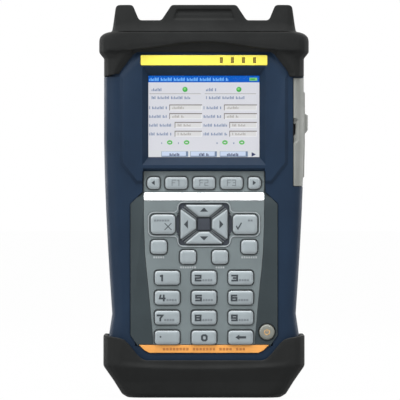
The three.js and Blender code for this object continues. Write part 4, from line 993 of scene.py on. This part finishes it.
# The ribs take the rim's paler grey: a painted highlight along the slanting sides of the arrow keys.
new_piece("dpad_ribs", *merged(ribs), "rim_grey", slot=FRAME_SLOT)
hub = shifted(rounded(centred(7.6, 7.6), 1.0), 0, PAD_CENTRE)
new_piece("dpad_hub", *slab(hub, -25.6, -23.8, 0.5), "channel_grey", slot=FRAME_SLOT)

# %% [markdown]
# Four small keys have their names printed on the plate below them. Rows of blocks stand there.

# %% Bars on the plate
plate_bars = []
BLOCK_PITCH = 1.45
for name, width in (("key_aux_1", 7.6), ("key_aux_2", 10.6),
                    ("key_aux_3", 5.9), ("key_aux_4", 9.8)):
    x, z, _ = key_middle(name)
    count = round(width / BLOCK_PITCH)
    plate_bars += dashes(count, x - (count - 1) * BLOCK_PITCH / 2, z - 6.5, 1.1, 1.25, BLOCK_PITCH)
print_on("plate_print", plate_bars, -PAD_DEPTH, "legend_white", "light_grey_plastic")
print("keypad panel done")

# %% [markdown]
# A bright strip leans across the step between the function keys and the pad. It is bent from
# thin metal, so its edges roll over. It is made flat, and every point is then moved back in
# step with its height, which leans the strip without touching its outline from the front.

# %% Silver strip
STRIP_LEAN = 0.5
strip_outline = rounded(rectangle(37.65, SLOPE[0] + 0.32, SLOPE[1] - 0.32), 0.8)
flat_points, strip_faces = slab(strip_outline, 0.02, 0.38, 0.3, 4)
leaning = [(x, y - PAD_DEPTH + STRIP_LEAN * (z - SLOPE[0]), z) for x, y, z in flat_points]
silver_strip = new_piece("silver_strip", leaning, strip_faces, "silver_trim")
stand_in(silver_strip, "silver_trim")
print("silver strip:", len(silver_strip.data.polygons), "faces")

# %% [markdown]
# ## What the display shows
# The display shows a small desktop window: a blue title bar, two columns of values and a row
# of buttons. It is drawn the way the picture was measured, in cells of 0.63 mm counted from the
# top left of the glass. A short code of the same length as the real words stands for each
# word: rows of little blocks, which read as text from where the camera is and say nothing.

# %% Drawing on the display
CELL = 0.6257
GLASS_LEFT, GLASS_TOP = -34.85, 201.8
GLASS_WIDE, GLASS_TALL = 111.2, 81.5
SCREEN_FACE, LAYER = -19.16, 0.012
drawn = {colour: [] for colour in LIT}


def draw(colour, cells, layer):
    """A flat outline in cells, counted right and down from the glass's top left corner."""
    drawn[colour].append([(GLASS_LEFT + u * CELL, SCREEN_FACE - layer * LAYER, GLASS_TOP - v * CELL)
                          for u, v in cells])


def paint(colour, left, top, right, bottom, layer=1):
    draw(colour, [(left, bottom), (right, bottom), (right, top), (left, top)], layer)


def blob(colour, u, v, radius, layer=3, wide=1.0):
    """A round or wide oval lamp."""
    draw(colour, [(u + wide * x, v + z) for x, z in circle(radius, steps=20)], layer)


def code(colour, left, right, middle, height, layer=4, seed=0, step=1.5):
    """Little blocks of uneven height and width in place of words."""
    count = max(1, int((right - left) / step))
    for i in range(count):
        turn = (i * 7 + seed * 5) % 9
        if turn == 4 and 0 < i < count - 1:
            continue
        tall = height * (0.55 + 0.45 * ((turn * 4) % 5) / 4)
        wide = step * (0.55 + 0.2 * (turn % 3) / 2)
        u = left + i * step
        paint(colour, u, middle + height / 2 - tall, u + wide, middle + height / 2, layer)


def sunken(left, top, right, bottom):
    """An entry field: pale, with a dark top and left edge and a light lower one."""
    paint("field_shade", left, top, right, bottom, 2)
    paint("field_edge", left + 0.7, top + 0.9, right, bottom, 3)
    paint("field", left + 0.7, top + 0.9, right - 0.7, bottom - 0.7, 4)


# %% Title bar and the two columns
paint("ground", 0, 0, GLASS_WIDE, GLASS_TALL, 0)
paint("header", 0, 0, GLASS_WIDE, 6.6)
code("header_text", 0.8, 81, 3.5, 3.3, 2, step=1.45)
paint("pale_green", 101.3, 2.0, 109, 5.0, 2)
paint("green", 102.2, 2.8, 106.8, 4.3, 3)
COLUMNS = ((0.0, 3.2, 36.7, 20.9, 53.7), (55.3, 57.7, 90.7, 75.7, 108.7))
for side, (edge, title, dot_u, field_left, field_right) in enumerate(COLUMNS):
    code("ink", title, title + 10.5, 13.9, 3.2, seed=side)
    blob("green", dot_u, 13.7, 2.6)
    blob("pale_green", dot_u - 0.4, 13.2, 1.2, 4)
    paint("field_shade", edge + 1.2, 17.9, edge + 52.5, 18.4, 2)
    paint("field_edge", edge + 1.2, 18.4, edge + 52.5, 18.9, 2)
    code("ink", title, title + 39.5, 21.9, 3.0, seed=side + 2)
    for row, top in enumerate((28.8, 37.5, 46.3, 55.1)):
        left = field_left + (5.4 if row > 1 else 0)
        sunken(left, top, field_right, top + 5.9)
        code("ink", title - 2.4, left - 1.6, top + 3.2, 3.0, seed=row + 3)
        code("value", left + 3, left + (15 if row < 2 else 17), top + 3.2, 2.6, 5, row)
    for mark, light in ((13.7, 21.4), (30.5, 38.3)):
        code("ink", edge + mark - 0.8, edge + mark + 1.6, 66.9, 3.0, seed=side)
        blob("pale_green", edge + light, 66.8, 2.3, 3, 1.25)
        blob("green", edge + light, 66.8, 1.9, 4, 1.25)
        paint("field", edge + light - 1.3, 66.2, edge + light + 1.3, 67.5, 5)

# %% Row of buttons
paint("corner", 0, 74.6, GLASS_WIDE, GLASS_TALL, 2)
for left, right, word in ((0.6, 12.2, None), (13.0, 39.8, (21.2, 31.4)), (42.0, 68.6, (50.8, 61.0)),
                          (71.6, 99.6, (78.8, 91.4)), (101.6, 110.6, None)):
    paint("button" if word else "corner", left, 75.7, right, 81.2, 3)
    paint("button_light" if word else "corner", left + 0.4, 75.9, right - 2.2, 80.2, 4)
    if word:
        code("button_ink", *word, 78.8, 2.9, 5, int(left), 1.45)
draw("button_ink", [(103.4, 76.6), (107.6, 78.8), (103.4, 81.0)], 6)

# %% One mesh for the whole picture
shapes = [(index, outline) for index, colour in enumerate(drawn) for outline in drawn[colour]]
points, faces = merged([(outline, [tuple(range(len(outline)))]) for index, outline in shapes])
mesh = filled("display_picture", points, faces)
picture = show("display_picture", mesh, "screen", "case")
picture.data.materials.clear()
for colour in drawn:
    picture.data.materials.append(FINISH["lit_" + colour])
for face, (index, outline) in zip(picture.data.polygons, shapes):
    face.material_index = index
print("shapes on the display:", len(shapes))

# %% [markdown]
# ## Rubber boots
# The two boots are thick rubber, so nothing on them is sharp. Each starts as a copy of its
# frame part. First a few forms are cut that the solids only hint at. Then the copy is remeshed
# in half-millimetre cells, smoothed like a pebble, and thinned out again where it is flat.

# %% Copy and soften
def copied(node, name, body="case"):
    """A copy of a frame part's mesh, in its place, as a piece that may be reshaped."""
    mesh = frame["nodes"][node].data.copy()
    if "custom_normal" in mesh.attributes:
        mesh.attributes.remove(mesh.attributes["custom_normal"])
    clean(mesh, False)
    return stand_in(show(name, mesh, SLOT[node], body), node)


def level_normals(piece, sharp=60):
    """Large flat faces keep flat shading, and the rounded ones between them stay smooth."""
    soften(piece, sharp)
    piece.modifiers.new("level", "WEIGHTED_NORMAL").keep_sharp = True
    settle(piece)


def soften_rubber(piece, cell, rounds, keep, sharp=60):
    remesh = piece.modifiers.new("cells", "REMESH")
    remesh.mode = "VOXEL"
    remesh.voxel_size = cell * MM
    smooth = piece.modifiers.new("pebble", "SMOOTH")
    smooth.factor = 0.5
    smooth.iterations = rounds
    piece.modifiers.new("thin", "DECIMATE").ratio = keep
    settle(piece)
    level_normals(piece, sharp)


def kept_in(first, second):
    """What two shapes have in common, as points and faces."""
    made = carve(new_piece("common", *first, "steel", body=None), second, "INTERSECT")
    points = [tuple(v.co / MM) for v in made.data.vertices]
    faces = [tuple(face.vertices) for face in made.data.polygons]
    bpy.data.objects.remove(made)
    return points, faces


# %% [markdown]
# The lower edge of the flange is a flat bell: level at the sides, raised in the middle. The
# solid's arch is a plain parabola, so a thin lip fills the difference. Below the arch the boot
# leans back to the case, so that band lies in shade. Where the boot's skirt meets the raised
# middle of the case it thins out to a soft lip, and the case's own bevel can catch the light.

# %% Flange of the top boot
OUTSIDE = 31  # just beyond the boots, whose faces stand 30 mm before and behind the centre plane
ARCH_SIDE, ARCH_RISE, FLANGE_HALF, FLANGE_FOOT = 216.9, 6.1, 65.7, 214
PLATEAU = mirrored([(42.8, 134.1), (52.6, 146.7), (52.6, 202.1), (41.9, 215.9)])
steps = [1 - i / 24 for i in range(49)]
parabola = [(FLANGE_HALF * t, ARCH_SIDE + ARCH_RISE * (1 - t * t)) for t in steps]
bell = [(FLANGE_HALF * t, ARCH_SIDE - 0.2 + 6.0 * math.exp(-(FLANGE_HALF * t / 34.0) ** 2))
        for t in steps]
lip = [(x, z + 0.4) for x, z in parabola] + bell[::-1]
band = [(-FLANGE_HALF, FLANGE_FOOT), (FLANGE_HALF, FLANGE_FOOT)] + bell
lean = ((OUTSIDE, FLANGE_FOOT), (25.2, FLANGE_FOOT), (25.2, 216.2), (27.3, 223.4), (OUTSIDE, 223.4))

top_boot = copied("top_boot", "top_boot_rubber")
flange_block = column(rounded(centred(2 * FLANGE_HALF - 0.2, 59.4), 10), FLANGE_FOOT, 226)
for front in (-1, 1):
    carve(top_boot, kept_in(prism(lip, front * OUTSIDE, front * 26.5), flange_block), "UNION")
    carve(top_boot, kept_in(sideways([(front * y, z) for y, z in lean], 45), prism(band, -40, 40)))
thinned = face_tower([(grow(PLATEAU, swell), y)
                      for swell, y in ((0.2, -24.3), (5.5, -27.4), (5.5, -OUTSIDE))])
carve(top_boot, kept_in(thinned, sideways([(-40, 190), (0, 190), (0, 215.4), (-40, 215.4)], 70)))
hem = [(-50, 203), (-54.5, 202.8), (-61.5, 201.2), (-64, 200.9), (-64, 199), (-50, 199)]
carve(top_boot, prism(hem, -OUTSIDE, -20))

# %% [markdown]
# The front of the flange is upright almost to its top edge. Above it a crease, and then the
# crown flares back, so it looks up and is paler. The sunken panel in its middle leans back too.

# %% Crown of the top boot
FLANGE_TOP, CROWN_HALF, CROWN_DEPTH = 229.3, 57.5, 27.45


def plan(half, depth, corner, z):
    return [(x, y, z) for x, y in rounded(centred(2 * half, 2 * depth), corner)]


edge_rings, flare = [], []
for i in range(6):
    angle = math.pi / 2 * i / 5
    roll = 1 - math.cos(angle)
    edge_rings.append(plan(FLANGE_HALF - 0.05 - 8 * roll, 29.9 - 0.7 * roll, 10,
                           FLANGE_TOP - 5.5 + 5.5 * math.sin(angle)))
for i in range(9):
    foot, rise = (1 - i / 8) ** 2, 7.4 * i / 8 - 0.3
    half, depth = CROWN_HALF - 0.144 * rise + 0.2 * foot, CROWN_DEPTH - 0.09 * rise + 1.95 * foot
    flare.append(plan(half, depth, 8, FLANGE_TOP + rise))
carve(top_boot, tower(edge_rings), "UNION")
carve(top_boot, tower(flare), "UNION")
carve(top_boot, tower([plan(51.3, 19.3, 2.4, z) for z in (221.2, 260)]))
panel = mirrored([(19.2, 236.9), (17, 243)])
lean_back = [(-OUTSIDE, 236), (-26.5, 236.6), (-24.4, 243.2), (-OUTSIDE, 244)]
carve(top_boot, kept_in(prism(panel, -OUTSIDE, -20), sideways(lean_back, 25)))
soften_rubber(top_boot, 0.55, 6, 0.22)
crease = ((OUTSIDE, 228.3), (29.2, 228.8), (28.5, 229.1), (29.2, 229.3), (OUTSIDE, 229.6))
for front in (-1, 1):
    carve(top_boot, sideways([(front * y, z) for y, z in crease], 55))
level_normals(top_boot)

# %% [markdown]
# The bottom boot has a low crest that bows across its front. Everything above it stands a
# little further back, and the step catches the light. Three shallow treads keep its foot from
# sliding, so it stands on a flat rim.

# %% Reshape the bottom boot
bottom_boot = copied("bottom_boot", "bottom_boot_rubber")
CREST_END, CREST_FACE = 54.0, 30.05
for front in (-1, 1):
    stations = []
    for i in range(33):
        t = i / 16 - 1
        back, low = CREST_FACE - (1 - t ** 6) * 2.4, 17.4 + 2.6 * t * t
        stations.append([(CREST_END * t, front * y, z) for y, z in
                         ((33, low), (CREST_FACE, low), (back, low + 3.2), (back, 60), (33, 60))])
    carve(bottom_boot, tower(stations))
for depth, middle in ((9, -10.5), (9, 10.5), (5, 0)):
    tread = rounded(centred(92, depth, 0, middle), 2)
    carve(bottom_boot, tower([[(x, y, z) for x, y in grow(tread, swell)]
                              for swell, z in ((-0.5, 0.9), (0, 0.4), (0.3, -1))]))
soften_rubber(bottom_boot, 0.6, 7, 0.25)
print("boot faces:", len(top_boot.data.polygons), len(bottom_boot.data.polygons))

# %% [markdown]
# ## Door and latch
# The door on the side closes over the service sockets. A thumb scoop is worn out of its front
# edge: flat at the top, where the nail pulls, and running out below. The scoop is a stack of
# its own outline, smaller and smaller towards the bottom, and a Boolean takes it out.

# %% Door with its thumb scoop
door = copied("side_door", "side_door_shell", body="side_door")
SCOOP_X, SCOOP_TOP = 55.0, 174.4
SCOOP = [(54.0, 160.3), (57.2, 160.9), (58.8, 163.0), (59.4, 166.5),
         (59.4, 173.4), (58.6, SCOOP_TOP), (54.0, SCOOP_TOP)]


def scoop_outline(share):
    """The scoop's outline at some depth: it shrinks towards its top edge."""
    return [(SCOOP_X + (x - SCOOP_X) * (0.35 + 0.65 * share) if x > SCOOP_X else x,
             SCOOP_TOP - (SCOOP_TOP - z) * (0.3 + 0.7 * share)) for x, z in SCOOP]


carve(door, face_tower([(scoop_outline(share), y) for share, y in
                        ((0.3, -21.75), (0.62, -21.9), (0.85, -22.3), (1.0, -23.1), (1.06, -25.5))]))
pull = rounded([(54.5, 164.2), (57.0, 164.6), (57.4, 171.6), (54.5, 171.6)], 0.5)
carve(door, prism(pull, -20, -25))
soften_rubber(door, 0.38, 3, 0.3, 50)

# %% [markdown]
# The latch is a rounded button with three grip grooves, drawn as a stack of half rings whose
# reach grows and falls. It slides 4 mm upwards, and carries a thin plate inside the door on a
# neck, so that the plate passes behind the catch of the bay and holds the door.

# %% Latch
LATCH_FOOT, LATCH_HEAD, LATCH_STEPS = 165.2, 178.3, 40
LATCH_Y, LATCH_HALF = -11.0, 3.5
DOOR_FACE = 62.6
latch_rings = []
for i in range(LATCH_STEPS + 1):
    t = i / LATCH_STEPS
    swell = min(1.0, (t / 0.22) ** 0.6, ((1 - t) / 0.1) ** 0.6)
    groove = 0.22 * max(0.0, math.cos((t - 0.5) * math.pi * 14)) ** 4 if 0.3 < t < 0.72 else 0.0
    out = 62.75 + 2.6 * swell - groove
    z = LATCH_FOOT + (LATCH_HEAD - LATCH_FOOT) * t
    ring = []
    for angle in (math.pi * (k / 24 - 0.5) for k in range(25)):
        x = DOOR_FACE + (out - DOOR_FACE) * abs(math.cos(angle)) ** 0.45
        ring.append((x, LATCH_Y + LATCH_HALF * math.sin(angle), z))
    latch_rings.append(ring)
latch = new_piece("door_latch_button", *tower(latch_rings), "door_grey_plastic", body="door_latch")
stand_in(latch, "door_latch")
TONGUE_PARTS = [  # middle and half width in X, foot and head in Z, half width in Y
    (57.9, 0.65, 167.1, 179.9, 2.9),  # the plate that passes behind the catch
    (58.95, 0.8, 167.1, 173.6, 2.9),  # the pad against the inside of the door
    (60.5, 2.3, 168.3, 173.1, 1.4),  # the neck through the slot of the door
]
tongue = [prism(rounded(rectangle(half, foot, head, middle), 0.3), LATCH_Y - reach, LATCH_Y + reach)
          for middle, half, foot, head, reach in TONGUE_PARTS]
new_piece("door_latch_tongue", *merged(tongue), "black_plastic", body="door_latch",
          slot=SLOT["door_latch"])
print("door faces:", len(door.data.polygons), "tongue reaches Z", TONGUE_PARTS[0][3])

# %% [markdown]
# ## Screws
# Five screws hold the shells and the battery cover. Each is a turned pan head with a cross
# recess for a driver. The head is a profile spun about its axis, and the recess is two tapered
# blades cut out with a Boolean.

# %% Turn the screws
def spun(profile, place, axis="y", steps=40):
    """A solid of (radius, distance along the axis) pairs about an axis through a place."""
    rings = []
    for radius, along in profile:
        ring = []
        for a, b in circle(radius, steps=steps):
            offset = {"x": (along, a, b), "y": (a, along, b)}[axis]
            ring.append(tuple(p + o for p, o in zip(place, offset)))
        rings.append(ring)
    return tower(rings)


HEAD_RADIUS, HEAD_HEIGHT, SHANK_RADIUS = 2.6, 1.6, 1.3
for name in [name for name in frame["nodes"] if "screw" in name]:
    low, high = ([value / MM for value in corner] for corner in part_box(name))
    x, z, tip, top = (low[0] + high[0]) / 2, (low[2] + high[2]) / 2, low[1], high[1]
    head = [(0.05, top), (1.7, top), (2.2, top - 0.12), (2.48, top - 0.4), (HEAD_RADIUS, top - 0.75),
            (HEAD_RADIUS, top - HEAD_HEIGHT)]
    shank = [(SHANK_RADIUS, top - HEAD_HEIGHT), (SHANK_RADIUS, tip + 1.2), (0.05, tip)]
    screw = new_piece(f"{name}_turned", *spun(head + shank, (x, 0, z)), "steel")
    for width, height in ((2.9, 0.55), (0.55, 2.9)):
        blade = [(centred(width * s, height * min(1.0, s + 0.2), x, z), y)
                 for s, y in ((0.35, top - 1.15), (1.0, top - 0.1), (1.08, top + 1))]
        carve(screw, face_tower(blade))
    soften(screw, 30)
    stand_in(screw, name)
print("screws turned")

# %% [markdown]
# ## Inside the sockets
# The sockets would look like empty boxes without their metal. Network jacks have eight sprung
# gold wires, the cages for optical plugs have a slotted connector at the bottom and sprung
# fingers at the mouth, the USB socket has four flat contacts, and the power inlet has a steel pin.

# %% Network jacks and cages for optical plugs
def strip(path, x, width, thickness):
    """A flat wire along (y, z) points, `width` wide about `x`."""
    section = path + [(y + thickness, z) for y, z in reversed(path)]
    return tower([[(x + side * width / 2, y, z) for y, z in section] for side in (-1, 1)])


def contacts(name, parts):
    new_piece(name, *merged(parts), "contact_gold", slot="steel")


WIRE_PATH = [(-9.6, 221.4), (-9.3, 219.2), (-6.6, 212.6), (-6.9, 210.4)]
WIRE_PITCH = 1.02
for number, middle in enumerate((-26.95, -11.05), 1):
    contacts(f"jack_{number}_contacts",
             [strip(WIRE_PATH, middle + (i - 3.5) * WIRE_PITCH, 0.5, 0.28) for i in range(8)])
    comb = [prism(centred(0.3, 3.2, middle + (i - 4) * WIRE_PITCH, 220.6), -9.7, -8.7)
            for i in range(9)]
    new_piece(f"jack_{number}_comb", *merged(comb), "black_plastic")
for number, middle in enumerate((12.6, 27.4), 1):
    body = column(rounded(centred(11.6, 5.6, middle, -7.6), 0.5), 189.2, 197.0)
    block = new_piece(f"cage_{number}_connector", *body, "black_plastic")
    carve(block, column(centred(9.2, 1.5, middle, -7.6), 190.5, 198))
    contacts(f"cage_{number}_contacts",
             [strip([(y, 190.7), (y, 196.4)], middle + (i - 4.5) * 0.8, 0.4, 0.12)
              for i in range(10) for y in (-8.3, -7.02)])
    fingers = []
    for i in range(6):
        for wall, way in ((-12.0, 1), (-3.2, -1)):
            bend = ((0.02, 222.8), (0.75, 219.6), (0.1, 216.6))
            path = [(wall + way * out, z) for out, z in bend]
            fingers.append(strip(path[::way], middle + (i - 2.5) * 2.1, 1.3, 0.14 * way))
    new_piece(f"cage_{number}_fingers", *merged(fingers), "steel")

# %% USB socket and power inlet
USB_Z = 174.0
contact = centred(7.4, 0.16, 48.2, -9.16)
contacts("usb_contacts", [column(contact, USB_Z + place - half, USB_Z + place + half)
                          for place, half in ((-3.5, 0.5), (-1.0, 0.45), (1.0, 0.45), (3.5, 0.5))])
springs = []
for z in (USB_Z - 2.8, USB_Z + 2.8):
    for wall, way in ((-11.6, 1), (-6.8, -1)):
        leaf = [(52.6, wall), (49.0, wall + 0.42 * way), (45.6, wall), (45.6, wall + 0.12 * way),
                (49.0, wall + 0.54 * way), (52.6, wall + 0.12 * way)]
        springs.append(column(leaf, z - 0.9, z + 0.9))
new_piece("usb_springs", *merged(springs), "steel")
INLET = (0, -7.3, 148.0)
pin = [(1.06, 43.0), (1.06, 51.9), (0.95, 52.25), (0.6, 52.42), (0.05, 52.45)]
new_piece("dc_pin_sleeve", *spun(pin, INLET, "x", 28), "steel")
collar = [(2.87, 43.2), (2.87, 51.2), (2.55, 51.2), (2.55, 43.2), (2.87, 43.2)]
new_piece("dc_collar", *spun(collar, INLET, "x"), "steel")
print("socket metal made")

# %% [markdown]
# ## Back
# The photograph shows only the front, so the back is the usual one for such a tester. The stand
# begins as a copy of its frame part, and gets a sunken field, grip ribs at its free end and two
# rubber feet. The sunken places are cut with stages that shrink towards the bottom, which
# leaves the draft that a mould needs.

# %% Stand
STAND_FACE, COVER_FACE = 23.8, 24.4


def sink(piece, outline, face, depth, edge=0.3):
    """Cuts a sunken field into a face that looks to the rear."""
    carve(piece, face_tower([(grow(outline, -edge), face - depth), (outline, face - edge),
                             (grow(outline, edge), face + 1)]))


def grip_ribs(piece, x_half, heights, face, deep, thick=0.9):
    """Half-round ribs that stand on a sunken field, flush with the face."""
    half = [(face - deep - 0.2, thick), (face - deep * 0.4, thick * 0.75),
            (face - 0.05, thick * 0.2)]
    for z in heights:
        rib = [(y, z - up) for y, up in half] + [(y, z + up) for y, up in reversed(half)]
        carve(piece, sideways(rib, x_half), "UNION")


stand = copied("kickstand", "kickstand_plate", body="kickstand")
sink(stand, rounded(rectangle(25.5, 136.5, 183), 4), STAND_FACE, 0.6)
sink(stand, rounded(rectangle(14, 122.8, 132.6), 2.2), STAND_FACE, 0.8)
grip_ribs(stand, 12.4, [124.9 + 2.8 * i for i in range(3)], STAND_FACE, 0.8)
edges = stand.modifiers.new("edges", "BEVEL")
edges.width, edges.segments = 0.35 * MM, 2
edges.limit_method, edges.angle_limit = "ANGLE", math.radians(40)
settle(stand)
soften(stand, 40)
feet = []
for side in (-1, 1):
    stages = turned_edge(rounded(centred(7.5, 3.6, side * 20.5, 126.6), 1.4), 0, 1, 0.3, -1)
    feet.append(face_tower([(outline, STAND_FACE - 0.02 if y == 1 else STAND_FACE + 0.34 - y)
                            for outline, y in stages]))
new_piece("kickstand_feet", *merged(feet), "boot_rubber", body="kickstand")

# %% [markdown]
# The battery cover has a shallow dish for the thumb, and an arrow that shows which way it
# slides off. Both are cut out of a copy of the frame part, and the ribs in the dish are joined
# on with a Boolean of the other kind.

# %% Battery cover
cover = copied("battery_cover", "battery_cover_shell")
dish = rounded(centred(25, 12.4, 0, 103.8), 3)
carve(cover, face_tower([(grow(dish, swell), y) for swell, y in
                         ((-2.4, 23.1), (-1.2, 23.3), (-0.3, 23.9), (0.5, 25))]))
grip_ribs(cover, 8.4, [100.6 + 2.15 * i for i in range(4)], COVER_FACE - 0.15, 1.15, 0.7)
sink(cover, [(-3.2, 93.2), (3.2, 93.2), (0, 90.2)], COVER_FACE, 0.4, 0.1)
soften(cover, 32)
print("stand and battery cover:", len(stand.data.polygons), len(cover.data.polygons))

# %% [markdown]
# ## Front shell
# The raised middle of the front shell has wide bevels at its two upper corners, beside the
# boot. They look up and outwards and catch the light, so they are cut out of a copy of the
# shell. Each cut starts as a point and widens upwards. Below the display the shell slopes in to
# the function keys.

# %% Corner bevels and the slope above the keys
front_shell = copied("front_cover", "front_cover_shell")
BEVEL_WIDTH, BEVEL_DROP, FACE_DEPTH = 3.6, 1.75, 25.6
BEVEL_FOOT = (52.6, 202.1)
ux, uz = toward(BEVEL_FOOT, (41.9, 215.9))
for side in (-1, 1):
    sections = []
    for distance, width in ((-4.5, 0.4), (0.0, BEVEL_WIDTH), (20.0, BEVEL_WIDTH)):
        x, z = BEVEL_FOOT[0] + ux * distance, BEVEL_FOOT[1] + uz * distance
        section = ((width, FACE_DEPTH + 0.05), (-0.6, FACE_DEPTH - BEVEL_DROP * width / BEVEL_WIDTH),
                   (-0.6, 28), (width, 28))
        sections.append([(side * (x - uz * inward), -y, z + ux * inward) for inward, y in section])
    carve(front_shell, tower(sections))
OPENING_HEAD, SLOPE_HEAD = 142.1, 143.7
slope = [(-26.5, SLOPE_HEAD + 0.65), (-FACE_DEPTH, SLOPE_HEAD), (-22.3, OPENING_HEAD),
         (-19.9, OPENING_HEAD), (-19.9, 141.0), (-26.5, 141.0)]
carve(front_shell, sideways(slope, 38.1))
soften(front_shell, 32)
print("front shell faces:", len(front_shell.data.polygons))

# %% [markdown]
# ## Close the scene
# The dressed model has to stay inside the box of the frame's solids.

# %% Update the view layer
import json

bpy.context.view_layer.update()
